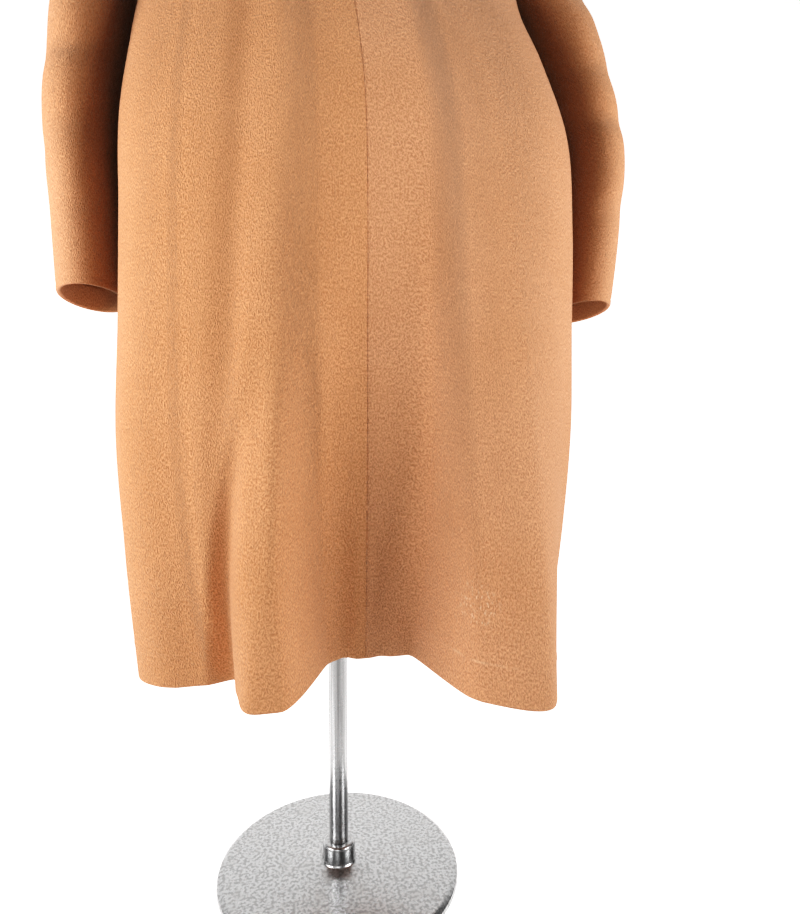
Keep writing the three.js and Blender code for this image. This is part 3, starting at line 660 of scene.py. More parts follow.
class NapGroup:
    """Brushed wool: short wavy tufts that lean down the cloth, and soft cloudy shading."""

    NAME = "brushed nap"

    @classmethod
    def tree(cls) -> bpy.types.NodeTree:
        """Gives the node group, made on first use."""
        if cls.NAME in bpy.data.node_groups:
            return bpy.data.node_groups[cls.NAME]
        group, start, end = new_group(
            cls.NAME,
            {"Cloth": ("NodeSocketVector", None), "Tuft": ("NodeSocketFloat", 0.0035),
             "Stretch": ("NodeSocketFloat", 2.0)},
            {"Tufts": "NodeSocketFloat", "Clouds": "NodeSocketFloat", "Tone": "NodeSocketFloat",
             "Height": "NodeSocketFloat"})
        bench = NodeBench(group)
        cloth = start.outputs["Cloth"]
        per_tuft = bench.math("DIVIDE", 1.0, start.outputs["Tuft"])
        down = bench.math("DIVIDE", per_tuft, start.outputs["Stretch"])
        scale = bench.add("ShaderNodeCombineXYZ", {0: per_tuft, 1: down, 2: 1.0}).outputs[0]
        sway = bench.add("ShaderNodeTexNoise", {"Vector": cloth, "Scale": 130.0, "Detail": 1.0}).outputs["Color"]
        sway = bench.add("ShaderNodeVectorMath", {0: sway, 1: (0.5, 0.5, 0.5)}, operation="SUBTRACT").outputs[0]
        sway = bench.add("ShaderNodeVectorMath", {0: sway, 1: (0.004, 0.003, 0.0)},
                         operation="MULTIPLY").outputs[0]
        bent = bench.add("ShaderNodeVectorMath", {0: cloth, 1: sway}, operation="ADD").outputs[0]
        tuft_vector = bench.add("ShaderNodeVectorMath", {0: bent, 1: scale}, operation="MULTIPLY").outputs[0]
        tufts = bench.noise(tuft_vector, 1.25, 1.0, 0.5)
        fuzz = bench.noise(tuft_vector, 0.62, 1.0, 0.5)
        clouds = bench.noise(cloth, 28.0, 3.0, 0.55)
        tone = bench.noise(cloth, 5.5, 2.0, 0.5)
        height = bench.math("ADD", bench.math("MULTIPLY", tufts, 0.78), bench.math("MULTIPLY", fuzz, 0.22))
        for title, socket in (("Tufts", tufts), ("Clouds", clouds), ("Tone", tone), ("Height", height)):
            group.links.new(socket, end.inputs[title])
        return group


@dataclass(frozen=True)
class Finish:
    """A surface finish. Each kind builds its own material once."""

    name: str
    slot: str

    def material(self) -> bpy.types.Material:
        """Gives the material, made on first use."""
        if self.name in bpy.data.materials:
            return bpy.data.materials[self.name]
        material = bpy.data.materials.new(self.name)
        material.use_nodes = True
        material.node_tree.nodes.clear()
        bench = NodeBench(material.node_tree)
        shader = bench.add("ShaderNodeBsdfPrincipled")
        output = bench.add("ShaderNodeOutputMaterial")
        material.node_tree.links.new(shader.outputs[0], output.inputs[0])
        self.dress(bench, shader)
        return material

    def dress(self, bench: NodeBench, shader: bpy.types.Node) -> None:
        """Sets the shader up. Each kind of finish has its own way."""
        raise NotImplementedError


@dataclass(frozen=True)
class WoolFinish(Finish):
    """Camel wool velour with a brushed nap.

    Attributes:
        tip: Colour of the nap's tips.
        root: Colour between the tufts: the wool's own deeper colour, deepened further as painted shade in the hollows
            of the nap.
        flecks: Cloth coordinates of a patch of pale flecks, where the piece has one.
        crease: Whether a faint pale line is painted along the hem allowance's pressed ridge, as a painted highlight on
            that ridge.
        tube: The cloth coordinates across, from seam to seam, of a sleeve with painted shade inside the arm, where the
            body shades it.
    """

    tip: Colour = (0.76, 0.396, 0.215, 1.0)
    root: Colour = (0.43, 0.178, 0.082, 1.0)
    flecks: Optional[Tuple[float, float]] = None
    crease: bool = False
    tube: Optional[Tuple[float, float]] = None

    def dress(self, bench: NodeBench, shader: bpy.types.Node) -> None:
        """Sets up the wool's colour, nap and marks.

        Args:
            bench: The material's bench.
            shader: Its Principled BSDF.
        """
        tree = bench.tree
        cloth = bench.add("ShaderNodeUVMap", uv_map="UVMap").outputs[0]
        nap = bench.add("ShaderNodeGroup", node_tree=NapGroup.tree())
        tree.links.new(cloth, nap.inputs["Cloth"])
        nap.inputs["Tuft"].default_value = 0.0017
        nap.inputs["Stretch"].default_value = 2.2
        tufts = bench.ramp(nap.outputs["Tufts"], 0.30, 0.70)
        # Root colour where the nap is low: partly the fibres' own colour, partly painted shade in the hollows between
        # tufts.
        colour = bench.mix(tufts, self.root, self.tip)
        plain = bench.mix(0.20, colour, self.tip)
        clouds = bench.ramp(nap.outputs["Clouds"], 0.3, 0.7)
        shaded = bench.mix(bench.math("MULTIPLY", clouds, 0.10), plain, (0.66, 0.35, 0.18, 1.0))
        tone = bench.ramp(nap.outputs["Tone"], 0.35, 0.65)
        warm = bench.mix(bench.math("MULTIPLY", tone, 0.16), shaded, (0.47, 0.19, 0.062, 1.0))
        if self.flecks is not None or self.crease:
            warm = self._marks(bench, cloth, warm)
        # Painted shade on a sleeve's inner arm.
        if self.tube is not None:
            warm = self._inner_arm(bench, cloth, warm)
        tree.links.new(warm, shader.inputs["Base Color"])
        bump = bench.add("ShaderNodeBump", {"Strength": 1.0, "Distance": 0.0028,
                                            "Height": nap.outputs["Height"]})
        tree.links.new(bump.outputs[0], shader.inputs["Normal"])
        shader.inputs["Roughness"].default_value = 0.92
        shader.inputs["Specular IOR Level"].default_value = 0.12
        shader.inputs["Sheen Weight"].default_value = 0.34
        shader.inputs["Sheen Roughness"].default_value = 0.42
        shader.inputs["Sheen Tint"].default_value = (1.0, 0.86, 0.72, 1.0)

    def _inner_arm(self, bench: NodeBench, cloth: bpy.types.NodeSocket,
                   colour: bpy.types.NodeSocket) -> bpy.types.NodeSocket:
        """Paints shade into the colour along a sleeve's seam, on the side that hangs against the body, where the body
        shades the sleeve.

        Args:
            bench: The material's bench.
            cloth: The cloth coordinates.
            colour: The colour so far.

        Returns:
            The colour with the painted shade.
        """
        across = bench.add("ShaderNodeSeparateXYZ", {0: cloth}).outputs[0]
        middle, half = sum(self.tube) / 2, (self.tube[1] - self.tube[0]) / 2
        # Painted shade: deep brown near the seam, on the inner arm that the body shades.
        from_middle = bench.math("ABSOLUTE", bench.math("SUBTRACT", across, middle), 0.0)
        inside = bench.ramp(from_middle, half * 0.35, half * 0.85)
        return bench.mix(bench.math("MULTIPLY", inside, 0.88), colour, (0.135, 0.040, 0.008, 1.0))

    def _marks(self, bench: NodeBench, cloth: bpy.types.NodeSocket,
               colour: bpy.types.NodeSocket) -> bpy.types.NodeSocket:
        """Lays pale flecks and a painted highlight along the hem allowance's ridge over the colour.

        Args:
            bench: The material's bench.
            cloth: The cloth coordinates.
            colour: The colour so far.

        Returns:
            The marked colour.
        """
        split = bench.add("ShaderNodeSeparateXYZ", {0: cloth})
        across, up = split.outputs[0], split.outputs[1]
        if self.flecks is not None:
            dx = bench.math("DIVIDE", bench.math("SUBTRACT", across, self.flecks[0]), 0.040)
            dy = bench.math("DIVIDE", bench.math("SUBTRACT", up, self.flecks[1]), 0.034)
            far = bench.math("ADD", bench.math("MULTIPLY", dx, dx), bench.math("MULTIPLY", dy, dy))
            patch = bench.ramp(far, 1.0, 0.1)
            stretched = bench.add("ShaderNodeVectorMath", {0: cloth, 1: (1.0, 0.55, 1.0)},
                                  operation="MULTIPLY").outputs[0]
            specks = bench.ramp(bench.noise(stretched, 310.0, 1.5, 0.6), 0.54, 0.68)
            mask = bench.math("MULTIPLY", bench.math("MULTIPLY", patch, specks), 0.46)
            colour = bench.mix(mask, colour, (0.93, 0.68, 0.47, 1.0))
        # Painted highlight: a faint pale line along the hem allowance's pressed ridge.
        if self.crease:
            near = bench.math("ABSOLUTE", bench.math("SUBTRACT", up, HEM_ALLOWANCE), 0.0)
            line = bench.ramp(near, 0.0022, 0.0003)
            patchy = bench.ramp(bench.noise(cloth, 34.0, 2.0, 0.6), 0.38, 0.62)
            span = bench.math("MULTIPLY", bench.ramp(across, 0.088, 0.115), bench.ramp(across, 0.235, 0.185))
            mask = bench.math("MULTIPLY", bench.math("MULTIPLY", line, patchy), bench.math("MULTIPLY", span, 0.30))
            colour = bench.mix(mask, colour, (0.90, 0.62, 0.40, 1.0))
        return colour


@dataclass(frozen=True)
class HornFinish(Finish):
    """Polished horn with cloudy streaks."""

    dark: Colour = (0.055, 0.026, 0.012, 1.0)
    light: Colour = (0.22, 0.115, 0.052, 1.0)

    def dress(self, bench: NodeBench, shader: bpy.types.Node) -> None:
        """Sets up the horn's streaks and polish."""
        place = bench.add("ShaderNodeTexCoord").outputs["Object"]
        streaks = bench.noise(place, 90.0, 4.0, 0.6, 1.4)
        colour = bench.mix(bench.ramp(streaks, 0.35, 0.7), self.dark, self.light)
        bench.tree.links.new(colour, shader.inputs["Base Color"])
        rough = bench.math("ADD", bench.math("MULTIPLY", bench.noise(place, 600.0, 2.0), 0.16), 0.2)
        bench.tree.links.new(rough, shader.inputs["Roughness"])


@dataclass(frozen=True)
class LinenFinish(Finish):
    """Pale woven cover over the dress form."""

    warp: Colour = (0.80, 0.765, 0.70, 1.0)
    weft: Colour = (0.69, 0.645, 0.575, 1.0)

    def dress(self, bench: NodeBench, shader: bpy.types.Node) -> None:
        """Sets up a plain weave with slubs."""
        place = bench.add("ShaderNodeTexCoord").outputs["Object"]
        across = bench.add("ShaderNodeTexWave", {"Vector": place, "Scale": 330.0, "Distortion": 0.8,
                                                 "Detail": 1.0}, bands_direction="X").outputs["Fac"]
        up = bench.add("ShaderNodeTexWave", {"Vector": place, "Scale": 330.0, "Distortion": 0.8,
                                             "Detail": 1.0}, bands_direction="Z").outputs["Fac"]
        weave = bench.math("MULTIPLY", bench.math("ADD", across, up), 0.5)
        slubs = bench.ramp(bench.noise(place, 26.0, 4.0, 0.6), 0.4, 0.62)
        factor = bench.math("ADD", bench.math("MULTIPLY", weave, 0.6), bench.math("MULTIPLY", slubs, 0.35),
                            clamp=True)
        bench.tree.links.new(bench.mix(factor, self.weft, self.warp), shader.inputs["Base Color"])
        bump = bench.add("ShaderNodeBump", {"Strength": 0.35, "Distance": 0.0005, "Height": weave})
        bench.tree.links.new(bump.outputs[0], shader.inputs["Normal"])
        shader.inputs["Roughness"].default_value = 0.88
        shader.inputs["Sheen Weight"].default_value = 0.12


@dataclass(frozen=True)
class ChromeFinish(Finish):
    """Satin chrome plate with faint wipe marks, and long thin dark streaks painted in as reflections of the studio's
    dark gaps.
    """

    plate: Colour = (0.50, 0.502, 0.506, 1.0)

    def dress(self, bench: NodeBench, shader: bpy.types.Node) -> None:
        """Sets up the plate, its fine wear and its painted dark reflection streaks."""
        place = bench.add("ShaderNodeTexCoord").outputs["Object"]
        marks = bench.ramp(bench.noise(place, 42.0, 5.0, 0.65), 0.45, 0.75)
        rough = bench.math("ADD", bench.math("MULTIPLY", marks, 0.07), 0.26)
        # Long thin dark streaks down the plate: painted reflections.
        stretched = bench.add("ShaderNodeVectorMath", {0: place, 1: (1.0, 1.0, 0.02)}, operation="MULTIPLY").outputs[0]
        dark_reflection_streaks = bench.ramp(bench.noise(stretched, 210.0, 2.0, 0.5), 0.44, 0.60)
        worn = bench.mix(bench.math("MULTIPLY", marks, 0.25), self.plate, (0.60, 0.595, 0.58, 1.0))
        colour = bench.mix(bench.math("MULTIPLY", dark_reflection_streaks, 0.55), worn, (0.20, 0.198, 0.195, 1.0))
        bench.tree.links.new(colour, shader.inputs["Base Color"])
        bench.tree.links.new(rough, shader.inputs["Roughness"])
        shader.inputs["Metallic"].default_value = 1.0


@dataclass(frozen=True)
class WoodFinish(Finish):
    """Turned beech with a satin varnish."""

    pale: Colour = (0.46, 0.265, 0.125, 1.0)
    dark: Colour = (0.27, 0.135, 0.055, 1.0)

    def dress(self, bench: NodeBench, shader: bpy.types.Node) -> None:
        """Sets up the grain and the varnish."""
        place = bench.add("ShaderNodeTexCoord").outputs["Object"]
        long_way = bench.add("ShaderNodeVectorMath", {0: place, 1: (9.0, 1.6, 9.0)},
                             operation="MULTIPLY").outputs[0]
        grain = bench.noise(long_way, 16.0, 5.0, 0.6, 0.6)
        pores = bench.noise(long_way, 95.0, 3.0, 0.6)
        factor = bench.math("ADD", bench.math("MULTIPLY", bench.ramp(grain, 0.35, 0.68), 0.75),
                            bench.math("MULTIPLY", pores, 0.25), clamp=True)
        bench.tree.links.new(bench.mix(factor, self.dark, self.pale), shader.inputs["Base Color"])
        bump = bench.add("ShaderNodeBump", {"Strength": 0.12, "Distance": 0.0004, "Height": pores})
        bench.tree.links.new(bump.outputs[0], shader.inputs["Normal"])
        shader.inputs["Roughness"].default_value = 0.38
        shader.inputs["Coat Weight"].default_value = 0.35
        shader.inputs["Coat Roughness"].default_value = 0.25


@dataclass
class Tailoring:
    """Cuts the coat's cloth pieces on one shared surface."""

    surface: CoatSurface = field(default_factory=CoatSurface)
    column_step: float = 0.0052
    row_step: float = 0.0065
    hem_edge: float = 0.006
    hem_wall: float = 0.0058
    seam_dip: float = 0.0007
    plain: WoolFinish = WoolFinish("camel wool", "wool")
    # The right back: real pale flecks, and a painted highlight along its hem allowance.
    marked: WoolFinish = WoolFinish("camel wool, flecked", "wool", flecks=(0.147, 0.110), crease=True)
    # A warmer, more saturated copy of the same wool for the left back: painted light, standing for the warmer light on
    # that panel.
    warm: WoolFinish = WoolFinish("camel wool, painted warm light", "wool", tip=(0.75, 0.374, 0.184, 1.0),
                                  root=(0.42, 0.166, 0.067, 1.0))
    # The sleeves' wool, with painted shade along the seam on the inner arm, where the body shades it.
    arm: WoolFinish = WoolFinish("camel wool, sleeve", "wool", tube=(2.2, 2.6))

    def rows(self) -> Grid:
        """Spaces the body's rows, closer at the hem, the hem allowance and the neck."""
        heights = [ring.side for ring in RINGS]
        numbers = np.arange(len(RINGS))
        hem = np.array([0.0, 0.0006, 0.0014, 0.0026, 0.004, 0.006, 0.009, 0.013])
        skirt = np.arange(0.019, RINGS[7].side, self.row_step)
        low = np.interp(np.concatenate([hem, skirt]), heights, numbers)
        upper = np.arange(ARMPIT, NECK - 0.03, 0.055)
        top = np.array([NECK - 0.016, NECK - 0.007, NECK - 0.002, NECK])
        allowance = np.interp(np.array([0.043, 0.0445, 0.0475, 0.049]), heights, numbers)
        return np.unique(np.round(np.concatenate([low[low < ARMPIT - 0.02], allowance, upper, top]), 6))

    def even_shares(self, start: float, end: float, shares: Grid) -> Grid:
        """Moves shares so that they lie evenly along the cloth at the hem."""
        fine = np.linspace(0.0, 1.0, 600)
        points = self.surface.points(start + (end - start) * fine, 0.0)
        lengths = np.concatenate([[0.0], np.cumsum(np.linalg.norm(np.diff(points, axis=0), axis=1))])
        return np.interp(shares * lengths[-1], lengths, fine)

    def panel(self, side: Side, part: Part) -> ClothSheet:
        """Cuts a back or a front.

        Args:
            side: The wearer's right or left.
            part: Back or front.

        Returns:
            The panel as a sheet.
        """
        back = part is Part.BACK
        ends = (0.0, 0.5) if back else (0.5, self.surface.front_end(0.0))
        raw = columns_across(0.46 if back else 0.40, self.column_step, 0.0045)
        shares = self.even_shares(side.value * ends[0], side.value * ends[1], raw)
        rows = self.rows()
        points, reach = [], []
        for row in rows:
            start = 0.0 if back else 0.5
            end = 0.5 if back else self.surface.front_end(row)
            cut = armhole_cut(row, part) * (-1 if back else 1)
            near_side = shares if back else 1 - shares
            place = side.value * (start + (end - start) * shares + cut * near_side ** ARMHOLE_SPREAD)
            grid = self.surface.points(place, row)
            if not back:
                grid = grid + self.surface.normals(place, row) * layer_lift(place, side)[:, None]
            points.append(grid)
            reach.append(place)
        grid = np.array(points)
        up = np.vstack([np.zeros((1, grid.shape[1])),
                        np.cumsum(np.linalg.norm(np.diff(grid, axis=0), axis=2), axis=0)])
        across = np.broadcast_to(raw * (0.46 if back else 0.40), up.shape)
        uv = np.stack([across if back else across + 0.6, up], axis=-1)
        wall = CLOTH + (self.hem_wall - CLOTH) * (1 - smooth_step(up, HEM_ALLOWANCE - 0.002, HEM_ALLOWANCE + 0.001))
        relief = 0.0005 * np.exp(-((up - HEM_ALLOWANCE) / 0.0022) ** 2)
        relief = relief - self.seam_relief(grid, part)
        name = f"coat_{part.value}_{side.name.lower()}"
        last = Edge.SEWN if back else Edge.TURNED
        return ClothSheet(name, grid, uv, wall, (Edge.TURNED, Edge.SEWN, Edge.SEWN, last),
                          flip=side is Side.LEFT, relief=relief)

    def seam_relief(self, grid: Grid, part: Part) -> Grid:
        """Sinks the cloth a little along the sewn edges."""
        steps = np.linalg.norm(np.diff(grid, axis=1), axis=2)
        along = np.hstack([np.zeros((grid.shape[0], 1)), np.cumsum(steps, axis=1)])
        dip = np.exp(-(along / 0.0032) ** 2)
        if part is Part.BACK:
            dip = dip + np.exp(-((along[:, -1:] - along) / 0.0032) ** 2)
        return self.seam_dip * dip

    def lapel(self, side: Side) -> ClothSheet:
        """Cuts a lapel, folded round the front's edge and lying on the front."""
        first = float(np.interp(BREAK_HEIGHT, [r.front for r in RINGS], np.arange(len(RINGS)))) + 0.02
        rows, columns = 90, 34
        shares = np.concatenate([[0.0, 0.004, 0.012], np.linspace(0.025, 0.985, rows), [0.993, 0.998, 1.0]])
        inwards = np.concatenate([[0.0, 0.006, 0.02], np.linspace(0.045, 0.96, columns), [0.98, 0.994, 1.0]])
        points, uv = [], []
        for share in shares:
            row = first + (LAPEL_TOP - first) * share
            width = blend(LAPEL_WIDTHS, share * (len(LAPEL_WIDTHS) - 1))
            roll = self.surface.front_end(row, side is Side.LEFT)
            ends = self.surface.points(side.value * np.array([roll, roll - 0.02]), row)
            unit_length = np.linalg.norm(ends[1] - ends[0]) / 0.02
            place = side.value * (roll - width * inwards / unit_length)
            normal = self.surface.normals(place, row)
            swell = 0.0035 * np.exp(-(width * inwards / 0.012) ** 2) * min(1.0, share * 8)
            lift = layer_lift(place, side) + LAYER_GAP + CLOTH + swell
            points.append(self.surface.points(place, row) + normal * lift[:, None])
            uv.append(np.stack([1.2 + width * inwards, np.full(len(inwards), 0.4 * share)], axis=-1))
        return ClothSheet(f"coat_lapel_{side.name.lower()}", np.array(points), np.array(uv),
                          np.array([[CLOTH]]), (Edge.TURNED,) * 4, flip=side is Side.RIGHT)

    def collar(self) -> ClothSheet:
        """Cuts the collar: up its stand, over the fold and down its fall."""
        stations = np.concatenate([[-1.0, -0.998, -0.994], np.linspace(-0.985, 0.985, 150),
                                   [0.994, 0.998, 1.0]])
        points = np.array([self.collar_profile(float(s)) for s in stations])
        steps = np.linalg.norm(np.diff(points, axis=1), axis=2)
        along = np.hstack([np.zeros((len(points), 1)), np.cumsum(steps, axis=1)])
        uv = np.stack([1.6 + along, np.broadcast_to((stations * 0.27)[:, None], along.shape)], axis=-1)
        return ClothSheet("coat_collar", points, uv, np.array([[CLOTH]]), (Edge.TURNED,) * 4, flip=True)

    def collar_profile(self, place: float) -> Grid:
        """Gives the collar's visible face at a station, from the neck edge to the outer edge."""
        side = -1 if place < 0 else 1
        at = abs(place) * (len(COLLAR) - 1)
        neck_ring = blend([s.neck_ring for s in COLLAR], at)
        neck_place = side * min(blend([s.neck for s in COLLAR], at), self.surface.front_end(neck_ring))
        edge_place = side * blend([s.edge for s in COLLAR], at)
        edge_ring = blend([s.edge_ring for s in COLLAR], at)
        stand = max(blend([s.stand for s in COLLAR], at) - COLLAR_ROLL, 0.001)
        neck = self.surface.points(np.array([neck_place]), neck_ring)[0]
        away = self.surface.normals(np.array([neck_place]), neck_ring)[0] * np.array([1.0, 1.0, 0.0])
        away = away / np.linalg.norm(away)
        up = np.array([0.0, 0.0, 1.0])
        edge = (self.surface.points(np.array([edge_place]), edge_ring)[0]
                + self.surface.normals(np.array([edge_place]), edge_ring)[0] * (2 * CLOTH + LAYER_GAP))
        foot = neck - away * CLOTH + up * SEAM_GAP
        centre = foot + up * stand + away * COLLAR_ROLL
        rise = [foot + up * stand * t for t in (0.0, 0.02, 0.06, 0.14, 0.3, 0.5, 0.75)]
        turn = [centre + COLLAR_ROLL * (away * math.cos(a) + up * math.sin(a))
                for a in np.radians(np.arange(180, 30, -15))]
        fold = turn[-1]
        swell = unit(np.cross(edge - fold, np.cross(up, away)))
        swell = swell if swell[2] > 0 else -swell
        fall = [fold + (edge - fold) * t + swell * 0.0022 * math.sin(math.pi * t)
                for t in np.concatenate([np.linspace(0.05, 0.93, 17), [0.965, 0.985, 0.995, 1.0]])]
        return np.array(rise + turn + fall)

    def sleeve_ring(self, side: Side, place: float, angles: Grid) -> Grid:
        """Gives a sleeve ring's points at angles from its inner side, round by the back."""
        value = {n: blend([getattr(r, n) for r in SLEEVES], place)
                 for n in ("height", "back", "clear", "half_wide", "half_deep", "rise")}
        middle = abs(self.surface.body_side(side, value["height"])) + value["clear"] + value["half_wide"]
        x = -side.value * (middle - value["half_wide"] * np.cos(angles))
        y = value["back"] + value["half_deep"] * np.sin(angles)
        z = HEM_Z + value["height"] + value["rise"] * np.sin(angles)
        return np.stack([x, y, z], axis=-1)

    def armhole(self, side: Side, shares: Grid) -> Grid:
        """Gives the armhole's edge, from the armpit up the back and down the front."""
        points = []
        for share in shares:
            part = Part.BACK if share <= 0.5 else Part.FRONT
            step = 2 * (share if share <= 0.5 else 1 - share)
            eased = 0.5 * step + 0.25 - 0.25 * math.cos(math.pi * step)
            row = ARMPIT + (SHOULDER_TIP - ARMPIT) * eased
            sign = -1 if part is Part.BACK else 1
            place = side.value * (0.5 + sign * armhole_cut(row, part))
            points.append(self.surface.points(np.array([place]), row)[0])
        return np.array(points)

    def sleeve(self, side: Side) -> ClothSheet:
        """Cuts a sleeve, from the armhole over its head and down to the cuff."""
        around, head_rows, arm_rows = 112, 34, 78
        shares = np.arange(around) / around
        angles = 2 * np.pi * shares
        edge = self.armhole(side, shares)
        upper = self.sleeve_ring(side, 0.0, angles)
        below = self.sleeve_ring(side, 0.1, angles)
        out = unit(np.array([-float(side.value), 0.0, -HEAD_DROP]))
        start = edge + out * SEAM_GAP
        reach = np.linalg.norm(upper - start, axis=1, keepdims=True)
        leave, arrive = out * 0.8 * reach, unit(below - upper) * reach
        rows = []
        for t in np.concatenate([[0.0, 0.006, 0.016, 0.03], np.linspace(0.055, 1.0, head_rows)[:-1]]):
            rows.append(start * (2 * t**3 - 3 * t**2 + 1) + leave * (t**3 - 2 * t**2 + t)
                        + upper * (3 * t**2 - 2 * t**3) + arrive * (t**3 - t**2))
        last = len(SLEEVES) - 1
        for place in np.concatenate([np.linspace(0.0, last - 0.12, arm_rows),
                                     last - np.array([0.10, 0.085, 0.07, 0.055, 0.043, 0.03, 0.02, 0.012,
                                                      0.006, 0.0025, 0.0])]):
            rows.append(self.sleeve_ring(side, float(place), angles))
        grid = np.array(rows)
        down = np.vstack([np.zeros((1, around)),
                          np.cumsum(np.linalg.norm(np.diff(grid, axis=0), axis=2), axis=0)])
        to_cuff = down[-1] - down
        grid = self.sleeve_creases(side, grid, to_cuff, angles)
        uv = np.stack([np.broadcast_to(2.2 + 0.40 * shares, down.shape), to_cuff], axis=-1)
        wall = CLOTH + (self.hem_wall - CLOTH) * (1 - smooth_step(to_cuff, 0.034, 0.037))
        stitched = -0.0011 * np.exp(-((to_cuff - 0.0098) / 0.0016) ** 2)
        seam = -0.0012 * np.exp(-(down / 0.004) ** 2)
        return ClothSheet(f"coat_sleeve_{side.name.lower()}", grid, uv, wall,
                          (Edge.SEWN, Edge.TURNED, Edge.SEWN, Edge.SEWN), closed=True,
                          flip=side is Side.RIGHT, relief=stitched + seam)

    @staticmethod
    def sleeve_creases(side: Side, grid: Grid, to_cuff: Grid, angles: Grid) -> Grid:
        """Presses soft drag folds into a sleeve at the elbow, the forearm and the head."""
        folds = (
            (0.300, 0.020, 0.6, 0.50, -0.0060),
            (0.262, 0.016, -0.5, 0.40, -0.0045),
            (0.225, 0.018, 0.9, 0.45, -0.0050),
            (0.160, 0.020, -0.9, 0.50, -0.0035),
            (0.110, 0.016, 0.4, 0.35, -0.0030),
            (0.480, 0.022, 1.3, 0.50, -0.0045),
            (0.440, 0.018, -1.2, 0.45, -0.0040),
        )
        offset = np.zeros(grid.shape[:2])
        turn = np.sin(angles)[None, :] * side.value
        for height, width, lean, spread, depth in folds:
            along = to_cuff - height - 0.03 * lean * turn
            around = np.exp(-((np.cos(angles)[None, :] - 0.25 * lean) / (1.6 * spread)) ** 2)
            offset = offset + depth * np.exp(-(along / width) ** 2) * around
        centre = grid.mean(axis=1, keepdims=True)
        return grid + unit(grid - centre) * offset[..., None]


@dataclass
class HardParts:
    """Hard pieces modelled from primitives: buttons, cap, pole and base."""

    def deselect(self) -> None:
        """Deselects everything, in object mode."""
        if bpy.context.object and bpy.context.object.mode != "OBJECT":
            bpy.ops.object.mode_set(mode="OBJECT")
        bpy.ops.object.select_all(action="DESELECT")

    def settle(self, piece: bpy.types.Object, name: str, finish: Finish, node: Optional[str],
               smooth_angle: float = 35.0) -> bpy.types.Object:
        """Applies a piece's place, shades it, dresses it and sets it on its body.

        Args:
            piece: The finished piece.
            name: Its new name.
            finish: Its finish.
            node: The CAD node that it stands for, if any.
            smooth_angle: The angle in degrees up to which edges look smooth.

        Returns:
            The piece.
        """
        self.deselect()
        piece.select_set(True)
        bpy.context.view_layer.objects.active = piece
        bpy.ops.object.transform_apply(location=True, rotation=True, scale=True)
        bpy.ops.object.shade_smooth_by_angle(angle=math.radians(smooth_angle))
        piece.name = name
        piece.data.name = name
        piece.data.materials.clear()
        piece.data.materials.append(finish.material())
        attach(piece, "root")
        if node is not None:
            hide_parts(node)
        return piece

    def turned(self, profile: Sequence[Tuple[float, float]], segments: int) -> bpy.types.Object:
        """Turns a profile about the vertical axis with the spin operator.

        Args:
            profile: Radius and height of each corner, from the axis to the axis.
            segments: The number of faces round.

        Returns:
            A closed solid.
        """
        self.deselect()
        mesh = bpy.data.meshes.new("profile")
        vertices = [(radius, 0.0, height) for radius, height in profile]
        mesh.from_pydata(vertices, [(i, i + 1) for i in range(len(vertices) - 1)], [])
        piece = bpy.data.objects.new("profile", mesh)
        bpy.context.scene.collection.objects.link(piece)
        bpy.context.view_layer.objects.active = piece
        piece.select_set(True)
        bpy.ops.object.mode_set(mode="EDIT")
        bpy.ops.mesh.select_all(action="SELECT")
        bpy.ops.mesh.spin(steps=segments, angle=2 * math.pi, center=(0.0, 0.0, 0.0), axis=(0.0, 0.0, 1.0))
        bpy.ops.mesh.select_all(action="SELECT")
        bpy.ops.mesh.remove_doubles(threshold=1e-5)
        bpy.ops.mesh.normals_make_consistent(inside=False)
        bpy.ops.object.mode_set(mode="OBJECT")
        return piece

    def bevel(self, piece: bpy.types.Object, width: float, segments: int, angle: float = 30.0) -> None:
        """Rounds a piece's sharp edges with an applied Bevel modifier."""
        self.deselect()
        piece.select_set(True)
        bpy.context.view_layer.objects.active = piece
        modifier = piece.modifiers.new("round", "BEVEL")
        modifier.width = width
        modifier.segments = segments
        modifier.limit_method = "ANGLE"
        modifier.angle_limit = math.radians(angle)
        bpy.ops.object.modifier_apply(modifier=modifier.name)


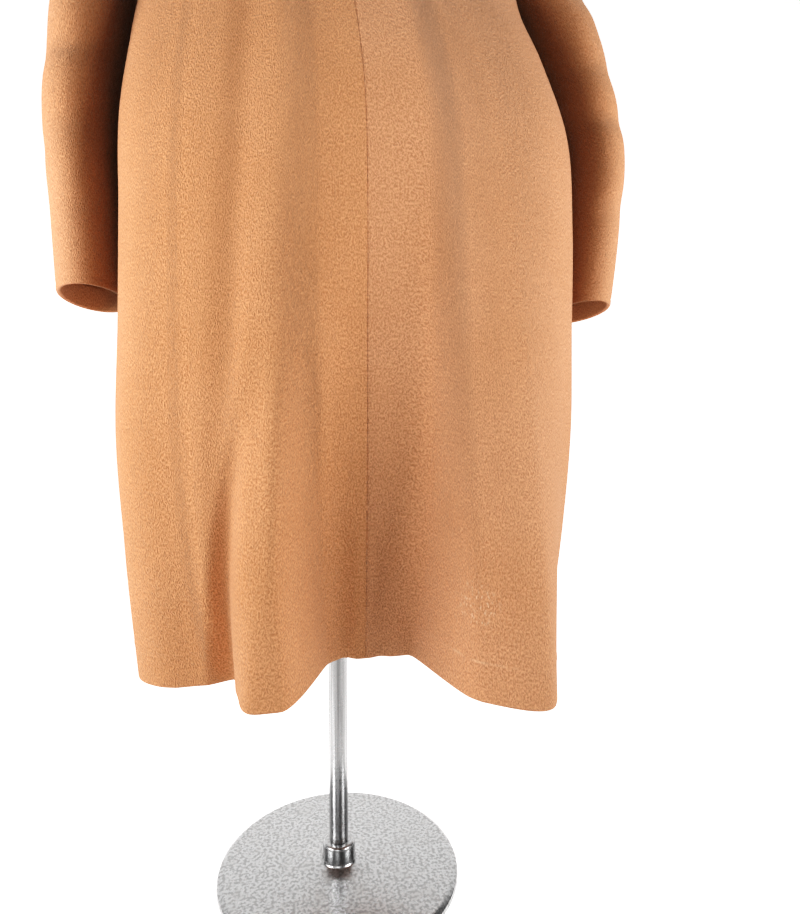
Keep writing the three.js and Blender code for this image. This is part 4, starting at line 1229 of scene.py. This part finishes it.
@dataclass
class Stand(HardParts):
    """The limbless form with its cap, pole and base."""

    chrome: ChromeFinish = ChromeFinish("chrome plate", "chrome")
    wood: WoodFinish = WoodFinish("turned beech", "wood")
    linen: LinenFinish = LinenFinish("linen cover", "form_cover")

    def build(self) -> None:
        """Makes every piece of the stand."""
        self.pole()
        self.base()
        self.cap()
        self.torso()

    def pole(self) -> None:
        """Makes the plain tube."""
        low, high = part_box("pole")
        radius = 0.5 * (high[0] - low[0])
        self.deselect()
        bpy.ops.mesh.primitive_cylinder_add(vertices=96, radius=radius, depth=high[2] - low[2],
                                            location=(0.0, 0.0, 0.5 * (high[2] + low[2])))
        tube = bpy.context.object
        self.bevel(tube, 0.0008, 2)
        self.settle(tube, "stand_pole", self.chrome, "pole")

    def base(self) -> None:
        """Turns the weighted base with its socket."""
        low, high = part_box("base")
        edge, top = 0.5 * (high[0] - low[0]), high[2]
        profile = [(0.0, 0.0), (edge - 0.002, 0.0), (edge, 0.003), (edge - 0.001, 0.009),
                   (edge - 0.008, 0.013), (0.060, 0.015), (0.027, 0.018), (0.024, 0.022),
                   (0.024, top - 0.003), (0.021, top), (0.0, top)]
        piece = self.turned(profile, 128)
        self.bevel(piece, 0.0016, 3, 12.0)
        self.settle(piece, "stand_base", self.chrome, "base")

    def cap(self) -> None:
        """Turns the neck cap with its knob."""
        low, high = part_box("form_cap")
        floor = low[2]
        profile = [(0.0, 0.0), (0.055, 0.0), (0.057, 0.004), (0.055, 0.009), (0.030, 0.015),
                   (0.012, 0.018), (0.010, 0.028), (0.016, 0.036), (0.014, 0.046), (0.0, 0.050)]
        piece = self.turned([(radius, floor + height) for radius, height in profile], 96)
        self.bevel(piece, 0.0018, 4, 15.0)
        self.settle(piece, "stand_cap", self.wood, "form_cap")

    def torso(self) -> None:
        """Smooths the form's own solid under a linen cover."""
        source = frame_object("form_torso")
        mesh = source.data.copy()
        piece = bpy.data.objects.new("stand_torso", mesh)
        bpy.context.scene.collection.objects.link(piece)
        self.deselect()
        piece.select_set(True)
        bpy.context.view_layer.objects.active = piece
        bpy.ops.object.mode_set(mode="EDIT")
        bpy.ops.mesh.select_all(action="SELECT")
        bpy.ops.mesh.remove_doubles(threshold=1e-5)
        bpy.ops.mesh.tris_convert_to_quads()
        bpy.ops.object.mode_set(mode="OBJECT")
        smooth = piece.modifiers.new("smooth", "SUBSURF")
        smooth.levels = smooth.render_levels = 2
        bpy.ops.object.modifier_apply(modifier=smooth.name)
        self.settle(piece, "stand_torso", self.linen, "form_torso", 60.0)


@dataclass
class Buttons(HardParts):
    """Four-holed buttons with crossed thread."""

    horn: HornFinish = HornFinish("polished horn", "horn")
    thread: HornFinish = HornFinish("button thread", "wool", (0.30, 0.15, 0.06, 1.0), (0.45, 0.25, 0.12, 1.0))
    names: Tuple[str, ...] = ("top", "middle", "bottom")

    def build(self, surface: CoatSurface) -> None:
        """Makes a button over each CAD button.

        Args:
            surface: The coat's surface, which gives the way that each button faces.
        """
        for name in self.names:
            low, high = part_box(f"button_{name}")
            middle = Vector([(a + b) / 2 for a, b in zip(low, high)])
            height = middle.z - HEM_Z
            row = float(np.interp(height, [r.front for r in RINGS], np.arange(len(RINGS))))
            normal = Vector(surface.normals(np.array([1.0]), row)[0])
            turn = Vector((0.0, 0.0, 1.0)).rotation_difference(normal).to_matrix().to_4x4()
            self.button(name, Matrix.Translation(middle - normal * 0.0025) @ turn)

    def button(self, name: str, place: Matrix) -> None:
        """Models one button and its thread.

        Args:
            name: The button's name.
            place: Where its underside's middle goes, and how it faces.
        """
        profile = [(0.0, 0.0), (0.0093, 0.0), (0.0128, 0.0009), (0.0150, 0.00225), (0.0147, 0.00425),
                   (0.0137, 0.005), (0.0118, 0.0048), (0.0099, 0.0035), (0.0, 0.0030)]
        disc = self.turned(profile, 64)
        self.bevel(disc, 0.0004, 2, 20.0)
        for k in range(4):
            angle = math.pi / 4 + k * math.pi / 2
            self.drill(disc, (0.0036 * math.cos(angle), 0.0036 * math.sin(angle)))
        disc.matrix_world = place
        self.settle(disc, f"button_{name}_disc", self.horn, f"button_{name}", 40.0)
        thread = self.cross_thread()
        thread.matrix_world = place
        self.settle(thread, f"button_{name}_thread", self.thread, None)

    def drill(self, disc: bpy.types.Object, centre: Tuple[float, float]) -> None:
        """Drills one thread hole through a button."""
        self.deselect()
        bpy.ops.mesh.primitive_cylinder_add(vertices=20, radius=0.00115, depth=0.02,
                                            location=(centre[0], centre[1], 0.002))
        drill = bpy.context.object
        self.deselect()
        disc.select_set(True)
        bpy.context.view_layer.objects.active = disc
        cut = disc.modifiers.new("hole", "BOOLEAN")
        cut.operation = "DIFFERENCE"
        cut.object = drill
        cut.solver = "EXACT"
        bpy.ops.object.modifier_apply(modifier=cut.name)
        bpy.data.objects.remove(drill)

    def cross_thread(self) -> bpy.types.Object:
        """Sews two crossed loops of thread through the holes."""
        self.deselect()
        loops = []
        for k in range(2):
            angle = math.pi / 4 + k * math.pi / 2
            bpy.ops.mesh.primitive_torus_add(major_radius=0.0036, minor_radius=0.00055, major_segments=32,
                                             minor_segments=10, location=(0.0, 0.0, 0.0024),
                                             rotation=(math.pi / 2, 0.0, angle))
            loop = bpy.context.object
            loop.scale = (1.0, 0.42 + 0.06 * k, 1.0)
            loops.append(loop)
        self.deselect()
        for loop in loops:
            loop.select_set(True)
        bpy.context.view_layer.objects.active = loops[0]
        bpy.ops.object.transform_apply(location=True, rotation=True, scale=True)
        bpy.ops.object.join()
        return bpy.context.object


def frame_object(node: str) -> bpy.types.Object:
    """Finds the loaded CAD object of a node."""
    entry = FRAME["nodes"][node]
    return entry if isinstance(entry, bpy.types.Object) else bpy.data.objects[str(entry)]


class SoftBox(NamedTuple):
    """A soft light round the coat. Angles are in degrees from the camera's side, positive to its right."""

    name: str
    turn: float
    distance: float
    height: float
    aim: float
    size: Tuple[float, float]
    power: float


@dataclass
class Studio:
    """The camera, the soft lights and the pale sweep behind the coat."""

    camera_turn: float = 10.0
    camera_pitch: float = 4.0
    camera_distance: float = 0.918
    camera_aside: float = 0.0925
    camera_height: float = HEM_Z + 0.331
    focal_pixels: float = 634.0
    frame_long_side: float = 914.0
    sensor: float = 36.0
    lit_from: float = 0.2
    backdrop_glow: float = 1.85
    room_light: float = 0.04
    film_white: float = 2.2
    film_roll: float = 1.0
    film_contrast: float = 1.30
    soft_boxes: Tuple[SoftBox, ...] = (
        SoftBox("key", -57.0, 1.38, 0.92, 0.92, (0.8, 0.5), 44.0),
        SoftBox("side", 68.0, 1.48, 0.96, 0.94, (0.7, 0.5), 40.0),
        SoftBox("front", -4.0, 1.7, 1.04, 0.94, (0.7, 0.5), 12.5),
    )

    def build(self) -> None:
        """Sets up the whole studio."""
        self.camera()
        self.sweep()
        self.lights()
        self.world()
        self.film()

    def axes(self) -> Tuple[Vector, Vector]:
        """Gives the level directions from the pole towards the camera, and to its right."""
        turn = math.radians(self.camera_turn)
        towards = Vector((math.sin(turn), math.cos(turn), 0.0))
        right = Vector((-math.cos(turn), math.sin(turn), 0.0))
        return towards, right

    def camera(self) -> None:
        """Places the camera behind the coat, at the photograph's height and angle."""
        towards, right = self.axes()
        data = bpy.data.cameras.new("camera")
        data.sensor_width = self.sensor
        data.lens = self.focal_pixels / self.frame_long_side * self.sensor
        data.clip_start, data.clip_end = 0.05, 50.0
        camera = bpy.data.objects.new("camera", data)
        bpy.context.scene.collection.objects.link(camera)
        place = towards * self.camera_distance + right * self.camera_aside
        place.z = self.camera_height
        pitch = math.radians(self.camera_pitch)
        aim = -towards * math.cos(pitch) - Vector((0.0, 0.0, math.sin(pitch)))
        camera.location = place
        camera.rotation_euler = aim.to_track_quat("-Z", "Y").to_euler()
        bpy.context.scene.camera = camera

    def sweep(self) -> None:
        """Makes the pale floor that curves up into a wall."""
        mesh = bpy.data.meshes.new("sweep")
        profile = [(6.0, 0.0), (self.lit_from, 0.0), (-1.6, 0.0)]
        profile += [(-1.6 - 1.4 * math.sin(a), 1.4 - 1.4 * math.cos(a)) for a in np.radians(np.arange(6, 91, 6))]
        profile += [(-3.0, 6.0)]
        vertices = [(x, y, z) for x in (-7.0, 7.0) for y, z in profile]
        count = len(profile)
        mesh.from_pydata(vertices, [], [(i, i + 1, count + i + 1, count + i) for i in range(count - 1)])
        sweep = bpy.data.objects.new("sweep", mesh)
        bpy.context.scene.collection.objects.link(sweep)
        mesh.polygons.foreach_set("use_smooth", [True] * len(mesh.polygons))
        for name, glow in (("pale floor", 0.0), ("lit backdrop", self.backdrop_glow)):
            material = bpy.data.materials.new(name)
            material.use_nodes = True
            shader = material.node_tree.nodes["Principled BSDF"]
            shader.inputs["Base Color"].default_value = (0.9, 0.9, 0.9, 1.0)
            shader.inputs["Roughness"].default_value = 0.9
            shader.inputs["Emission Color"].default_value = (1.0, 0.992, 0.985, 1.0)
            shader.inputs["Emission Strength"].default_value = glow
            mesh.materials.append(material)
        mesh.polygons.foreach_set("material_index", [0] + [1] * (len(mesh.polygons) - 1))

    def area(self, name: str, place: Vector, aim: Vector, size: Tuple[float, float], power: float) -> None:
        """Adds a soft box.

        Args:
            name: The light's name.
            place: Where it stands.
            aim: The point that it faces.
            size: Its width and height.
            power: Its power in watts.
        """
        data = bpy.data.lights.new(name, "AREA")
        data.shape = "RECTANGLE"
        data.size, data.size_y = size
        data.energy = power
        light = bpy.data.objects.new(name, data)
        bpy.context.scene.collection.objects.link(light)
        light.location = place
        light.rotation_euler = (aim - place).to_track_quat("-Z", "Y").to_euler()

    def lights(self) -> None:
        """Adds the key from the camera's left, the side light from its right and a little from the front."""
        for name, turn, distance, height, aim, size, power in self.soft_boxes:
            towards, right = self.axes()
            angle = math.radians(turn)
            place = (towards * math.cos(angle) + right * math.sin(angle)) * distance
            place.z = height
            self.area(name, place, Vector((0.0, 0.0, aim)), size, power)

    def world(self) -> None:
        """Fills the room with a low even light."""
        world = bpy.data.worlds.new("room")
        bpy.context.scene.world = world
        world.use_nodes = True
        background = world.node_tree.nodes["Background"]
        background.inputs[0].default_value = (1.0, 1.0, 1.0, 1.0)
        background.inputs[1].default_value = self.room_light

    def film(self) -> None:
        """Sets the picture's tone curve, which rolls off softly towards white."""
        view = bpy.context.scene.view_settings
        view.view_transform = "Standard"
        view.look = "None"
        view.use_curve_mapping = True
        mapping = view.curve_mapping
        mapping.white_level = (self.film_white,) * 3
        curve = mapping.curves[3]
        for level in (0.04, 0.1, 0.2, 0.35, 0.55, 0.75):
            curve.points.new(level, self.film_tone(level))
        mapping.update()

    def film_tone(self, level: float) -> float:
        """Gives the tone for a light level, both from 0 to 1."""
        rolled = (1 - math.exp(-self.film_roll * level)) / (1 - math.exp(-self.film_roll))
        return rolled ** self.film_contrast


def main() -> None:
    """Builds the coat, its buttons, the stand and the studio."""
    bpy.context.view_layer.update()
    tailoring = Tailoring()
    sheets: Dict[str, bpy.types.Object] = {}
    for side in Side:
        for part in Part:
            # The left back wears the copy of the wool with painted warm light.
            finish = {(Side.RIGHT, Part.BACK): tailoring.marked,
                      (Side.LEFT, Part.BACK): tailoring.warm}.get((side, part), tailoring.plain)
            node = f"{part.value}_{side.name.lower()}"
            sheets[node] = tailoring.panel(side, part).build(finish, node)
        name = side.name.lower()
        sheets[f"lapel_{name}"] = tailoring.lapel(side).build(tailoring.plain, f"lapel_{name}")
        sheets[f"sleeve_{name}"] = tailoring.sleeve(side).build(tailoring.arm, f"sleeve_{name}")
    sheets["collar"] = tailoring.collar().build(tailoring.plain, "collar")
    for node, piece in sheets.items():
        LOG.info("%s: %d faces", node, len(piece.data.polygons))
    Buttons().build(tailoring.surface)
    LOG.info("buttons are on")
    Stand().build()
    LOG.info("the stand is up")
    Studio().build()


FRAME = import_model()

if __name__ == "__main__":
    logging.basicConfig(level=logging.INFO, format="%(name)s: %(message)s")
    main()
